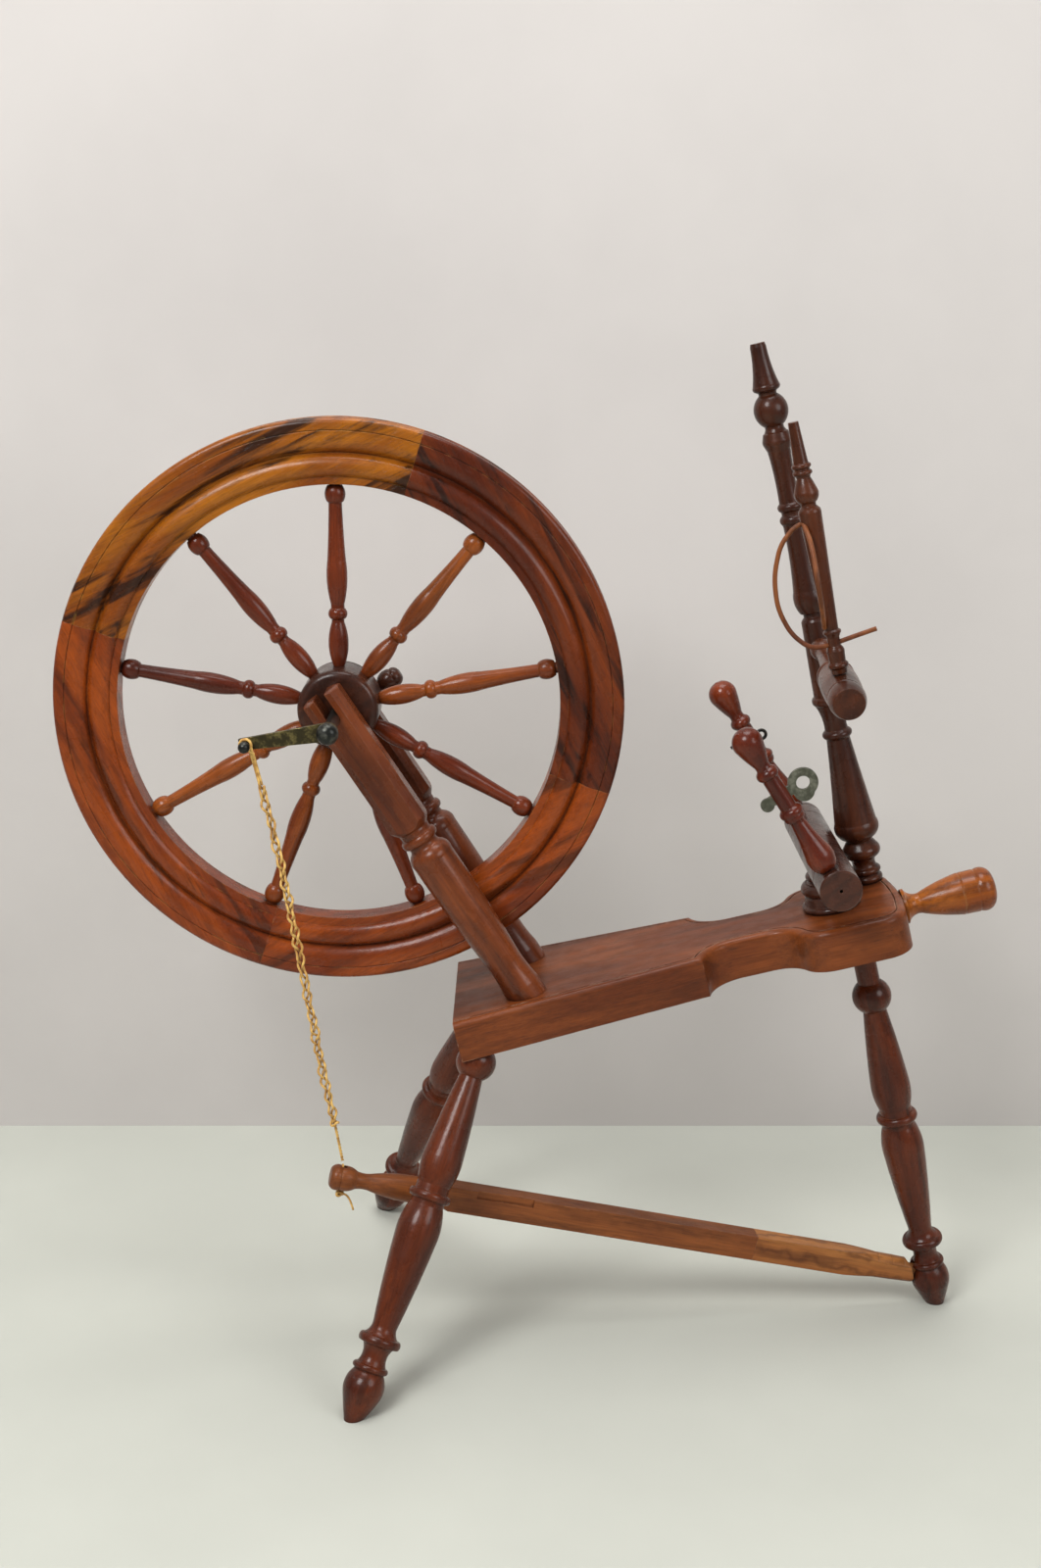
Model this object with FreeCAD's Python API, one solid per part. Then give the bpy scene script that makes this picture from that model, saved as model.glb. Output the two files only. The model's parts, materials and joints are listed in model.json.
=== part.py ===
import FreeCAD, Part
import math
import os

V = FreeCAD.Vector

# Saxony flax wheel.  Millimetres.  X runs from the wheel to the flyer end, Y from the
# crank side to the far side, Z up.  The design is laid out with the axle at X = 0 and is
# moved at the end, so that the origin lies on the floor under the middle of the box.

# ---- drive wheel
wheel_radius = 254.0
rim_depth = 57.0            # radial width of the felloes
rim_half_thick = 16.0
felloe_count = 4
felloe_joint_angle = 72.0   # direction of the first joint between two felloes
spoke_count = 9
spoke_tenon_radius = 5.0
spoke_tenon_length = 12.0
hub_radius = 36.0
hub_half_length = 28.0
hub_face_radius = 29.5
axle_radius = 5.5
rim_over_bench = 34.659       # from the rim to the plane of the bench top
running_clearance = 0.05    # radial, for every turning fit
fit_gap = 0.3               # between faces that pass each other

# ---- crank
crank_throw = 70.0
crank_angle = 188.4         # direction of the crank pin from the axle
crank_thick = 4.0
crank_plane = -106.0        # back face of the crank bar
crank_eye_radius = 8.0
crank_tip_width = 9.6
nut_radius = 9.4
pin_radius = 2.2
pin_ball_radius = 5.0

# ---- bench
bench_left = 100.8          # X of the left end
bench_left_height = 320.4   # Z of its top surface there
bench_slope = 13.6
axle_over_end = (wheel_radius + rim_over_bench - bench_left * math.sin(math.radians(bench_slope)))
axle_height = bench_left_height + axle_over_end / math.cos(math.radians(bench_slope))
bench_thick = 37.0
bench_length = 417.0
bench_end_bulge = 3.0
wheel_end_half_width = 84.0
waist_start = 229.0
waist_start_half_width = 60.0
waist_half_width = 33.0
waist_flat_start = 262.0
waist_flat_end = 292.0
block_start = 345.0
block_half_width = 67.0
block_corner_radius = 26.0
edge_round = 5.0
quirk_inset = 7.0
quirk_width = 1.2
quirk_depth = 1.2

# ---- legs
foot_spread = 198.6         # Y of the two left feet
left_foot_x = 15.3
left_leg_top = V(121.0, 65.0, 276.0)    # centre of the ball under the bench
leg_ball_at = 325.0         # distance from the foot to the centre of that ball
leg_tenon_radius = 10.5
leg_tenon_depth = 24.0
right_leg_at = 376.0        # along the bench
right_leg_tenon_gap = 5.0   # between that tenon and the tension screw

# ---- wheel posts
upright_lean = 33.0
upright_half_spacing = 46.0
upright_width = 36.0
upright_thick = 32.0
upright_corner = 7.0
upright_top = 23.0          # how far the prongs rise past the axle
upright_shoulder = 122.0    # end of the squared part, down from the axle
upright_tenon_radius = 11.0
upright_tenon_depth = 30.0
peg_radius = 3.2
peg_drop = 11.0             # down the post from the axle to the peg

# ---- mother-of-all and tension screw
pillar_at = 357.0           # along the bench
barrel_height = 52.0        # barrel axis above the bench
barrel_radius = 18.4
barrel_half_length = 116.0
maiden_half_spacing = 100.0
maiden_lean = 33.0
maiden_tenon_radius = 7.0
pillar_base_radius = 26.0
nut_block_half_length = 8.0
nut_block_half_width = 11.0
tension_travel = 7.0        # each way along the bench
screw_depth = 16.5          # screw axis below the bench top
screw_radius = 5.5
screw_groove = 1.6
screw_retainer_radius = 2.5
screw_retainer_at = 404.0
handle_length = 86.0
flyer_bore_radius = 5.9
flyer_bore_reach = 21.7     # bearing bore from the maiden's axis
flyer_bore_height = 96.0    # along the maiden from the barrel axis
plate_thick = 3.0
wire_radius = 1.6
wire_bend_radius = 4.2

# ---- distaff
post_at = 398.7             # along the bench
post_y = 46.0
post_length = 507.4
post_tenon_radius = 9.0
post_tenon_depth = 30.0
arm_height = 275.0          # along the distaff post, down from its tip
arm_length = 211.0
arm_drop = 11.6
arm_shift = 7.0
arm_tenon_radius = 6.0
stick_at = 172.0            # along the arm, from the post to the distaff stick
stick_length = 225.0
stick_lean = 12.7
stick_tenon_radius = 4.5
rib_radius = 2.0

# ---- treadle
treadle_pivot_height = 30.0
treadle_knob = V(-0.4, -76.0, 168.0)
treadle_beam_height = 24.0
treadle_beam_thick = 18.0
treadle_square_start = 97.0     # from the knob
treadle_splice_at = 398.0
treadle_leg_gap = 2.2           # between the coped end of the bar and the leg
treadle_tongue_thick = 7.0
treadle_pin_radius = 2.5
cord_hole_radius = 2.2
knot_radius = 4.2

# ---- footman
twine_radius = 1.3
footman_radius = 4.2


def line(a, b):
    return Part.makeLine(a, b)


def outline_edges(steps, point):
    """Edges through steps: (a, b) goes straight there, (am, bm, a, b) goes by an arc."""
    edges = []
    here = steps[0]
    for step in steps[1:]:
        there = step[-2:]
        if len(step) == 2:
            edges.append(line(point(*here), point(*there)))
        else:
            edges.append(Part.Arc(point(*here), point(*step[:2]), point(*there)).toShape())
        here = there
    return edges


def place(shape, start, axis):
    """Stand a shape that was made along +Z on start, pointing along axis."""
    shape = shape.copy()
    shape.Placement = FreeCAD.Placement(start, FreeCAD.Rotation(V(0, 0, 1), axis))
    return shape


def turned(steps, start, axis):
    """A lathe-turned solid: steps give (distance, radius) along the axis."""
    point = lambda distance, radius: V(radius, 0, distance)
    edges = outline_edges(steps, point)
    first, last = steps[0], steps[-1][-2:]
    corners = [point(*last), point(last[0], 0), point(first[0], 0), point(*first)]
    for a, b in zip(corners, corners[1:]):
        if a.distanceToPoint(b) > 1e-6:
            edges.append(line(a, b))
    face = Part.Face(Part.Wire(Part.__sortEdges__(edges)))
    return place(face.revolve(V(0, 0, 0), V(0, 0, 1), 360), start, axis)


def rod(start, end, radius):
    axis = end - start
    return Part.makeCylinder(radius, axis.Length, start, axis)


def rounded_path(points, share):
    """Straight runs joined by tangent arcs, each as large as share of its runs allows."""
    edges = []
    here = points[0]
    for before, corner, after in zip(points, points[1:], points[2:]):
        back = (before - corner)
        ahead = (after - corner)
        turn = math.pi - back.getAngle(ahead)
        reach = share * min(back.Length, ahead.Length)
        start = corner + back.normalize() * reach
        end = corner + ahead.normalize() * reach
        radius = reach / math.tan(turn / 2)
        middle = (start + end) * 0.5
        inward = (middle - corner).normalize()
        centre = corner + inward * (radius / math.cos(turn / 2))
        edges.append(line(here, start))
        edges.append(Part.Arc(start, centre - inward * radius, end).toShape())
        here = end
        print("   arc radius", round(radius, 1))
    edges.append(line(here, points[-1]))
    return Part.Wire(edges)


def tube(points, radius, share=0.45):
    path = rounded_path(points, share)
    ring = Part.makeCircle(radius, points[0], points[1] - points[0])
    return path.makePipeShell([Part.Wire(ring)], True, False)


# ---- bench frame: s along the slope, y across, n up from the top surface
slope = math.radians(bench_slope)
along = V(math.cos(slope), 0, math.sin(slope))
normal = V(-math.sin(slope), 0, math.cos(slope))
bench_origin = V(bench_left, 0, bench_left_height)
bench_place = FreeCAD.Placement(bench_origin, FreeCAD.Rotation(V(0, 1, 0), -bench_slope))


def on_bench(s, y=0.0, n=0.0):
    return bench_origin + along * s + V(0, y, 0) + normal * n


def flat_arc(point, flat_end):
    """Middle of the arc from point that arrives at flat_end level with the bench's length."""
    dx = flat_end[0] - point[0]
    dy = flat_end[1] - point[1]
    radius = -(dx * dx + dy * dy) / (2 * dy)
    centre = (flat_end[0], flat_end[1] + radius)
    middle = ((point[0] + flat_end[0]) / 2 - centre[0], (point[1] + flat_end[1]) / 2 - centre[1])
    scale = abs(radius) / math.hypot(*middle)
    return (centre[0] + middle[0] * scale, centre[1] + middle[1] * scale)


def bench_steps(left):
    """Half outline on the +y side, from the left end round to the middle of the right end."""
    taper = (waist_start_half_width - wheel_end_half_width) / waist_start
    start = (left, wheel_end_half_width + taper * left)
    corner = (waist_start, waist_start_half_width)
    flat_start = (waist_flat_start, waist_half_width)
    flat_end = (waist_flat_end, waist_half_width)
    block = (block_start, block_half_width)
    between = ((flat_end[0] + block[0]) / 2, (flat_end[1] + block[1]) / 2)
    turn_start = (bench_length - block_corner_radius, block_half_width)
    turn_end = (bench_length, block_half_width - block_corner_radius)
    diagonal = block_corner_radius * math.sqrt(0.5)
    turn_mid = (turn_start[0] + diagonal, turn_end[1] + diagonal)
    return [
        start,
        corner,
        flat_arc(corner, flat_start) + flat_start,
        flat_end,
        flat_arc(between, flat_end) + between,
        flat_arc(between, block) + block,
        turn_start,
        turn_mid + turn_end,
    ]


def bench_face(left):
    steps = bench_steps(left)
    far = outline_edges(steps, lambda s, y: V(s, y, 0))
    near = outline_edges(steps, lambda s, y: V(s, -y, 0))
    end_y = steps[-1][-1]
    tip = V(bench_length + bench_end_bulge, 0, 0)
    end = Part.Arc(V(bench_length, end_y, 0), tip, V(bench_length, -end_y, 0)).toShape()
    start = line(V(left, steps[0][1], 0), V(left, -steps[0][1], 0))
    return Part.Face(Part.Wire(Part.__sortEdges__(far + near + [end, start])))


def bench_blank():
    return bench_face(0.0).extrude(V(0, 0, -bench_thick))


screw_inner_end = pillar_at - nut_block_half_length - tension_travel - 4.0


def bench():
    """The sloping table with its moulded top edge and every socket."""
    wood = bench_blank()
    edges = []
    for edge in wood.Edges:
        box = edge.BoundBox
        if abs(box.ZMax) < 1e-6 and abs(box.ZMin) < 1e-6 and box.XMax > 1e-6:
            edges.append(edge)
    wood = wood.makeFillet(edge_round, edges)
    extended = bench_face(-30.0)
    outer = extended.makeOffset2D(-quirk_inset)
    inner = extended.makeOffset2D(-quirk_inset - quirk_width)
    groove = outer.cut(inner).extrude(V(0, 0, -quirk_depth))
    wood = wood.cut(groove)
    travel = nut_block_half_length + tension_travel + fit_gap
    slot_y = nut_block_half_width + running_clearance
    slot_deep = screw_depth + screw_radius + 4.0
    corner = V(pillar_at - travel, -slot_y, -slot_deep)
    wood = wood.cut(Part.makeBox(2 * travel, 2 * slot_y, slot_deep, corner))
    bore = screw_radius + running_clearance
    screw_end = V(screw_inner_end, 0, -screw_depth)
    wood = wood.cut(rod(screw_end, V(bench_length + 20, 0, -screw_depth), bore))
    dowel_foot = V(screw_retainer_at, 0, -bench_thick)
    dowel_head = V(screw_retainer_at, 0, -screw_depth - screw_radius + screw_groove)
    wood = wood.cut(rod(dowel_foot, dowel_head, screw_retainer_radius))
    socket = post_tenon_radius + running_clearance
    wood = wood.cut(rod(V(post_at, post_y, 1), V(post_at, post_y, -post_tenon_depth - 1), socket))
    wood.Placement = bench_place
    for tenon in leg_tenons() + upright_tenons():
        wood = wood.cut(tenon)
    return wood


# ---- legs
leg_bulb_radius = 18.2      # of a leg where the treadle meets it
leg_steps = [
    (-9.0, 5.0),
    (0.0, 8.6),
    (9.0, 12.6, 20.0, 17.0),
    (29.0, 18.2, 41.5, 13.4),
    (42.5, 15.4),
    (45.0, 16.2, 47.5, 13.2),
    (56.0, 11.2, 64.5, 14.0),
    (65.5, 18.2),
    (69.0, 19.2, 72.5, 17.6),
    (73.0, 15.2),
    (77.5, 12.0, 84.0, 11.4),
    (126.0, 16.4, 167.0, 19.8),
    (181.0, 18.6, 192.0, 15.4),
    (196.5, 15.4),
    (197.0, 17.8),
    (200.5, 19.4, 204.0, 17.8),
    (204.5, 15.4),
    (211.0, 15.2),
    (222.0, 17.8, 236.0, 18.4),
    (275.0, 15.0, 311.0, 10.8),
    (leg_ball_at, 18.2, leg_ball_at + 14.0, 11.4),
]

left_foot = V(left_foot_x, foot_spread, 0)
left_leg_axis = (left_leg_top - left_foot).normalize()
right_leg_socket = on_bench(right_leg_at, 0, -bench_thick)
right_foot = right_leg_socket - normal * (right_leg_socket.z / normal.z)


def mirrored(point):
    return V(point.x, -point.y, point.z)


def leg_tenon(start, axis, depth):
    """A tenon that enters the underside of the bench to the given depth."""
    reach = (right_leg_socket - start).dot(normal) / axis.dot(normal)
    return rod(start, start + axis * (reach + depth), leg_tenon_radius)


def leg_parts():
    """(foot, axis, tenon depth) of the near left, far left and right legs."""
    right_depth = bench_thick - screw_depth - screw_radius - right_leg_tenon_gap
    near = (mirrored(left_foot), mirrored(left_leg_axis), leg_tenon_depth)
    far = (left_foot, left_leg_axis, leg_tenon_depth)
    return [near, far, (right_foot, normal, right_depth)]


def leg_tenons():
    return [leg_tenon(foot + axis * leg_ball_at, axis, depth) for foot, axis, depth in leg_parts()]


def leg(foot, axis, depth):
    blank = bench_blank()
    blank.Placement = bench_place
    wood = turned(leg_steps, foot, axis)
    tenon = leg_tenon(foot + axis * leg_ball_at, axis, depth)
    floor = Part.makeBox(400, 400, 60, V(foot.x - 200, foot.y - 200, -60))
    return wood.cut(blank).fuse(tenon).cut(floor).removeSplitter()


# ---- wheel posts
lean = math.radians(upright_lean)
down_post = V(math.sin(lean), 0, -math.cos(lean))
across_post = V(math.cos(lean), 0, math.sin(lean))
axle_centre = V(0, 0, axle_height)

upright_reach = (bench_origin - axle_centre).dot(normal) / down_post.dot(normal)
upright_steps = [
    (upright_shoulder - 10.0, 13.0),
    (upright_shoulder + 2.0, 14.4),
    (127.0, 14.0),
    (128.0, 16.0),
    (131.5, 17.4, 135.0, 16.0),
    (136.0, 14.0),
    (139.0, 13.6, 142.0, 15.6),
    (146.0, 18.8, 154.0, 19.6),
    (212.0, 18.8, upright_reach - 36.0, 16.0),
    (upright_reach - 22.0, 16.4, upright_reach - 10.0, 17.8),
    (upright_reach + 14.0, 17.8),
]


def upright_foot(side):
    """Where the axis of a wheel post meets the bench top."""
    return axle_centre + V(0, side * upright_half_spacing, 0) + down_post * upright_reach


def upright_tenons():
    tenons = []
    for side in (-1, 1):
        foot = upright_foot(side)
        start = foot - down_post * 20
        tenons.append(rod(start, foot + down_post * upright_tenon_depth, upright_tenon_radius))
    return tenons


def upright(side, tenon):
    top = axle_centre + V(0, side * upright_half_spacing, 0)
    height = upright_top + upright_shoulder
    corner = V(-upright_width / 2, -upright_thick / 2, -upright_top)
    block = Part.makeBox(upright_width, upright_thick, height, corner)
    long_edges = [e for e in block.Edges if abs(e.BoundBox.ZLength - height) < 1e-3]
    block = block.makeChamfer(upright_corner, long_edges)
    envelope = [
        (-upright_top, 15.0),
        (-upright_top + 3.0, 21.0, -upright_top + 9.0, 26.0),
        (upright_shoulder - 20.0, 26.0),
        (upright_shoulder - 8.0, 20.0, upright_shoulder, 14.4),
    ]
    block = block.common(turned(envelope, V(0, 0, 0), V(0, 0, 1)))
    block = place(block, top, down_post)
    wood = block.fuse(turned(upright_steps, top, down_post))
    below = Part.makeBox(400, 400, 90, V(-200, -200, -90))
    below.Placement = FreeCAD.Placement(upright_foot(side), bench_place.Rotation)
    wood = wood.cut(below).fuse(tenon)
    slot_half = axle_radius + running_clearance
    slot = Part.makeBox(2 * slot_half, 60, 60, V(-slot_half, -30, -60))
    wood = wood.cut(place(slot, top, down_post))
    seat = rod(top - V(0, 40, 0), top + V(0, 40, 0), axle_radius + running_clearance)
    wood = wood.cut(seat)
    if side > 0:
        wood = wood.cut(peg_shaft(peg_radius + running_clearance))
    return wood.removeSplitter()


def peg_shaft(radius):
    start = axle_centre + V(0, upright_half_spacing, 0) + down_post * peg_drop
    return rod(start - across_post * 30, start + across_post * 40, radius)


def bearing_peg():
    start = axle_centre + V(0, upright_half_spacing, 0) + down_post * peg_drop
    steps = [
        (-upright_width / 2 - 6.0, peg_radius),
        (upright_width / 2 + fit_gap, peg_radius),
        (upright_width / 2 + 4.0, 4.4, upright_width / 2 + 13.0, 4.6),
        (38.0, 9.8, 46.0, 9.2),
        (46.5, 8.6),
        (47.5, 8.6),
        (48.0, 9.0),
        (51.5, 7.6, 54.0, 4.0),
    ]
    return turned(steps, start, across_post)


# ---- drive wheel
rim_inner = wheel_radius - rim_depth
rim_steps = [
    (rim_inner, 12.0),
    (rim_inner + 7.0, 12.4),
    (rim_inner + 7.0, 13.4),
    (rim_inner + 17.0, 17.4, rim_inner + 26.0, 10.6),
    (rim_inner + 27.2, 9.2),
    (rim_inner + 33.0, 14.6, rim_inner + 43.0, rim_half_thick),
    (rim_inner + 46.0, rim_half_thick),
    (rim_inner + 46.5, rim_half_thick - 0.8),
    (rim_inner + 47.0, rim_half_thick),
    (wheel_radius - 5.0, rim_half_thick),
    (wheel_radius - 1.4, rim_half_thick - 1.5, wheel_radius, rim_half_thick - 5.0),
    (wheel_radius, 8.4),
    (wheel_radius - 2.6, 4.8, wheel_radius, 1.2),
    (wheel_radius, 0.0),
]


def felloe(number):
    front = outline_edges(rim_steps, lambda r, y: V(r, -y, 0))
    back = outline_edges(rim_steps, lambda r, y: V(r, y, 0))
    closing = line(V(rim_inner, -rim_steps[0][1], 0), V(rim_inner, rim_steps[0][1], 0))
    face = Part.Face(Part.Wire(Part.__sortEdges__(front + back + [closing])))
    sweep = 360.0 / felloe_count
    wood = face.revolve(V(0, 0, 0), V(0, 1, 0), sweep)
    wood.rotate(V(0, 0, 0), V(0, 1, 0), sweep * (number - 1) - felloe_joint_angle)
    wood.translate(axle_centre)
    for spoke_number in range(1, spoke_count + 1):
        wood = wood.cut(spoke_tenon(spoke_number))
    return wood


def spoke_direction(number):
    angle = math.radians(90.0 - (number - 1) * 360.0 / spoke_count)
    return V(math.cos(angle), 0, math.sin(angle))


def spoke_tenon(number):
    out = spoke_direction(number)
    start = axle_centre + out * (rim_inner - 1.0)
    return rod(start, start + out * (spoke_tenon_length + 1.0), spoke_tenon_radius)


hub_seat = math.sqrt(hub_radius ** 2 - spoke_tenon_radius ** 2)
spoke_steps = [
    (hub_seat - spoke_tenon_length, spoke_tenon_radius),
    (hub_seat, spoke_tenon_radius),
    (55.0, 8.9, 75.0, 5.6),
    (77.5, 5.6),
    (78.5, 7.0),
    (82.5, 8.5, 86.5, 7.0),
    (87.5, 6.0),
    (91.0, 6.0),
    (110.0, 9.0, 130.0, 8.2),
    (158.0, 6.6, 180.0, 5.9),
    (181.0, 7.2),
    (190.0, 8.9, rim_inner - 1.6, 6.4),
    (rim_inner - 1.6, spoke_tenon_radius),
    (rim_inner + spoke_tenon_length, spoke_tenon_radius),
]


def spoke(number):
    return turned(spoke_steps, axle_centre, spoke_direction(number))


def hub():
    half = hub_half_length
    steps = [
        (-half, hub_face_radius),
        (-half + 1.6, hub_radius - 2.4, -half + 6.0, hub_radius),
        (-half + 9.0, hub_radius),
        (-half + 9.6, hub_radius - 0.9),
        (-half + 10.2, hub_radius),
        (half - 10.2, hub_radius),
        (half - 9.6, hub_radius - 0.9),
        (half - 9.0, hub_radius),
        (half - 6.0, hub_radius),
        (half - 1.6, hub_radius - 2.4, half, hub_face_radius),
    ]
    wood = turned(steps, axle_centre, V(0, 1, 0))
    wood = wood.cut(rod(axle_centre - V(0, 50, 0), axle_centre + V(0, 50, 0), axle_radius))
    inner = hub_seat - spoke_tenon_length
    for number in range(1, spoke_count + 1):
        out = spoke_direction(number)
        start = axle_centre + out * inner
        wood = wood.cut(rod(start, start + out * 40, spoke_tenon_radius))
    return wood


crank_direction = V(math.cos(math.radians(crank_angle)), 0, math.sin(math.radians(crank_angle)))
crank_pin_centre = axle_centre + crank_direction * crank_throw
spigot_radius = 3.5


def axle():
    far_end = axle_centre + V(0, upright_half_spacing + 22, 0)
    steel = rod(far_end, axle_centre + V(0, crank_plane, 0), axle_radius)
    spigot_end = V(0, crank_plane - crank_thick - 8.0, 0)
    return steel.fuse(rod(axle_centre + V(0, crank_plane + 1, 0), axle_centre + spigot_end, spigot_radius))


def crank_arm():
    """Flat bar from the axle to the crank pin, square at its outer end."""
    eye = Part.makeCylinder(crank_eye_radius, crank_thick, V(0, 0, 0))
    tip = crank_tip_width / 2
    end = crank_throw + tip + 1.0
    corners = [V(0, -crank_eye_radius, 0), V(end, -tip, 0), V(end, tip, 0), V(0, crank_eye_radius, 0)]
    bar = Part.Face(Part.makePolygon(corners + corners[:1])).extrude(V(0, 0, crank_thick))
    bar = bar.fuse(eye).removeSplitter()
    bar = bar.cut(Part.makeCylinder(spigot_radius, 20, V(0, 0, -5)))
    bar = bar.cut(Part.makeCylinder(pin_radius, 20, V(crank_throw, 0, -5)))
    turn = FreeCAD.Rotation(V(0, 1, 0), -crank_angle) * FreeCAD.Rotation(V(1, 0, 0), 90)
    bar.Placement = FreeCAD.Placement(axle_centre + V(0, crank_plane, 0), turn)
    return bar


def axle_nut():
    face = crank_plane - crank_thick
    steps = [
        (0.0, nut_radius - 2.2),
        (1.6, nut_radius - 2.2),
        (7.0, nut_radius, 15.4, 2.0),
        (16.0, 0.0),
    ]
    nut = turned(steps, axle_centre + V(0, face, 0), V(0, -1, 0))
    end = axle_centre + V(0, face - 8.0, 0)
    return nut.cut(rod(axle_centre + V(0, face + 1, 0), end, spigot_radius))


def crank_pin():
    face = crank_plane - crank_thick
    stem = rod(crank_pin_centre + V(0, crank_plane, 0), crank_pin_centre + V(0, face - 11, 0), pin_radius)
    ball_centre = crank_pin_centre + V(0, face - 8.0 - pin_ball_radius, 0)
    return stem.fuse(Part.makeSphere(pin_ball_radius, ball_centre))


# ---- footman: one plaited twine from the crank pin to the treadle
loop_centre = crank_pin_centre + V(0, crank_plane - crank_thick - 4.0, 0)
loop_radius = pin_radius + twine_radius + 0.1
footman_route = [
    V(-64.0, -114.0, 576.0),
    V(-57.8, -111.0, 548.0),
    V(-49.8, -106.4, 508.0),
    V(-42.2, -102.3, 463.6),
    V(-34.8, -97.6, 413.1),
    V(-28.6, -93.4, 369.0),
    V(-21.9, -89.0, 322.0),
    V(-15.4, -84.8, 276.0),
    V(-7.0, -80.6, 230.0),
    V(-0.4, -76.8, 186.0),
]


def footman_loop():
    """The eye of the twine round the crank pin, with the strand down to the plait."""
    ring = Part.makeTorus(loop_radius, twine_radius, loop_centre, V(0, 1, 0))
    start = footman_route[0]
    out = (start - loop_centre).normalize()
    return ring.fuse(rod(loop_centre + out * loop_radius, start, twine_radius)).removeSplitter()


# ---- mother-of-all
barrel_centre = on_bench(pillar_at, 0, barrel_height)
maiden_tilt = math.radians(maiden_lean)
maiden_axis = V(-math.sin(maiden_tilt), 0, math.cos(maiden_tilt))
maiden_side = V(math.cos(maiden_tilt), 0, math.sin(maiden_tilt))


def mother_of_all_pillar():
    base = on_bench(pillar_at, 0, 0)
    top = barrel_height - barrel_radius + 5.0
    steps = [
        (fit_gap, pillar_base_radius - 1.0),
        (3.6, pillar_base_radius + 0.6, 6.0, pillar_base_radius - 2.0),
        (10.0, pillar_base_radius - 3.0, 13.0, pillar_base_radius - 3.6),
        (15.0, pillar_base_radius - 5.0),
        (21.0, pillar_base_radius - 1.4, 26.0, pillar_base_radius - 8.0),
        (28.0, 15.0),
        (31.5, 18.4, 35.0, 15.0),
        (top, 12.0),
    ]
    wood = turned(steps, base, normal)
    size = V(2 * nut_block_half_length, 2 * nut_block_half_width, screw_depth + screw_radius + 3.6)
    block = Part.makeBox(size.x, size.y, size.z + 1, V(-size.x / 2, -size.y / 2, -size.z))
    bore = screw_radius + running_clearance
    block = block.cut(rod(V(-30, 0, -screw_depth), V(30, 0, -screw_depth), bore))
    block.Placement = FreeCAD.Placement(base, bench_place.Rotation)
    return wood.fuse(block).cut(barrel_blank()).removeSplitter()


def barrel_blank():
    half = barrel_half_length
    steps = [
        (-half, barrel_radius - 1.0),
        (-half + 1.0, barrel_radius),
        (-half + 38.0, barrel_radius),
        (-half + 38.8, barrel_radius - 0.8),
        (-half + 39.6, barrel_radius),
        (half - 39.6, barrel_radius),
        (half - 38.8, barrel_radius - 0.8),
        (half - 38.0, barrel_radius),
        (half - 14.0, barrel_radius),
        (half - 13.2, barrel_radius - 0.8),
        (half - 12.4, barrel_radius),
        (half - 6.0, barrel_radius),
        (half - 1.6, barrel_radius - 1.8, half, barrel_radius - 6.0),
    ]
    return turned(steps, barrel_centre, V(0, 1, 0))


def mother_of_all_barrel():
    wood = barrel_blank()
    for side in (-1, 1):
        seat = barrel_centre + V(0, side * maiden_half_spacing, 0)
        socket = maiden_tenon_radius + running_clearance
        wood = wood.cut(rod(seat - maiden_axis * 9, seat + maiden_axis * 30, socket))
    hole = barrel_centre - V(0, barrel_half_length, 0)
    return wood.cut(rod(hole - V(0, 1, 0), hole + V(0, 6, 0), 1.6))


maiden_steps = [
    (-8.0, maiden_tenon_radius),
    (barrel_radius + 0.4, maiden_tenon_radius),
    (barrel_radius + 0.4, 8.4),
    (28.0, 12.4, 38.0, 11.6),
    (54.0, 8.6, 68.0, 6.8),
    (70.0, 6.8),
    (71.0, 8.0),
    (74.0, 9.6, 76.0, 9.6),
    (79.0, 10.8, 82.5, 9.2),
    (84.0, 7.6),
    (114.0, 7.4),
    (115.0, 8.2),
    (119.0, 10.0, 123.0, 8.0),
    (124.0, 7.0),
    (127.0, 6.6, 130.0, 7.4),
    (140.0, 10.8, 149.0, 13.2),
    (157.0, 12.0, 163.0, 6.0),
    (164.6, 0.0),
]


def maiden(side):
    seat = barrel_centre + V(0, side * maiden_half_spacing, 0)
    wood = turned(maiden_steps, seat, maiden_axis)
    if side < 0:
        return wood.cut(plate_blank())
    return wood.cut(wire_shape())


def plate_blank():
    """Flat bearing plate with its tail, lying across the near maiden."""
    eye = Part.makeCylinder(13.0, plate_thick, V(flyer_bore_reach, 0, 0))
    low = Part.makeCylinder(9.0, plate_thick, V(flyer_bore_reach - 3.0, 7.0, 0))
    tail = Part.makeBox(flyer_bore_reach + 10.0, 9.0, plate_thick, V(-15.0, -4.5, 0))
    stub = Part.makeCylinder(6.0, plate_thick, V(-14.0, 1.0, 0))
    plate = eye.fuse([low, tail, stub]).removeSplitter()
    centre = barrel_centre + V(0, -maiden_half_spacing, 0) + maiden_axis * flyer_bore_height
    turn = FreeCAD.Rotation(maiden_side, maiden_axis.negative(), V(0, 1, 0), "XZY")
    frame = FreeCAD.Placement(centre - V(0, plate_thick / 2, 0), turn)
    plate.Placement = frame
    return plate


def front_bearing():
    centre = barrel_centre + V(0, -maiden_half_spacing, 0)
    bore = centre + maiden_axis * flyer_bore_height + maiden_side * flyer_bore_reach
    return plate_blank().cut(rod(bore - V(0, 9, 0), bore + V(0, 9, 0), flyer_bore_radius))


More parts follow.
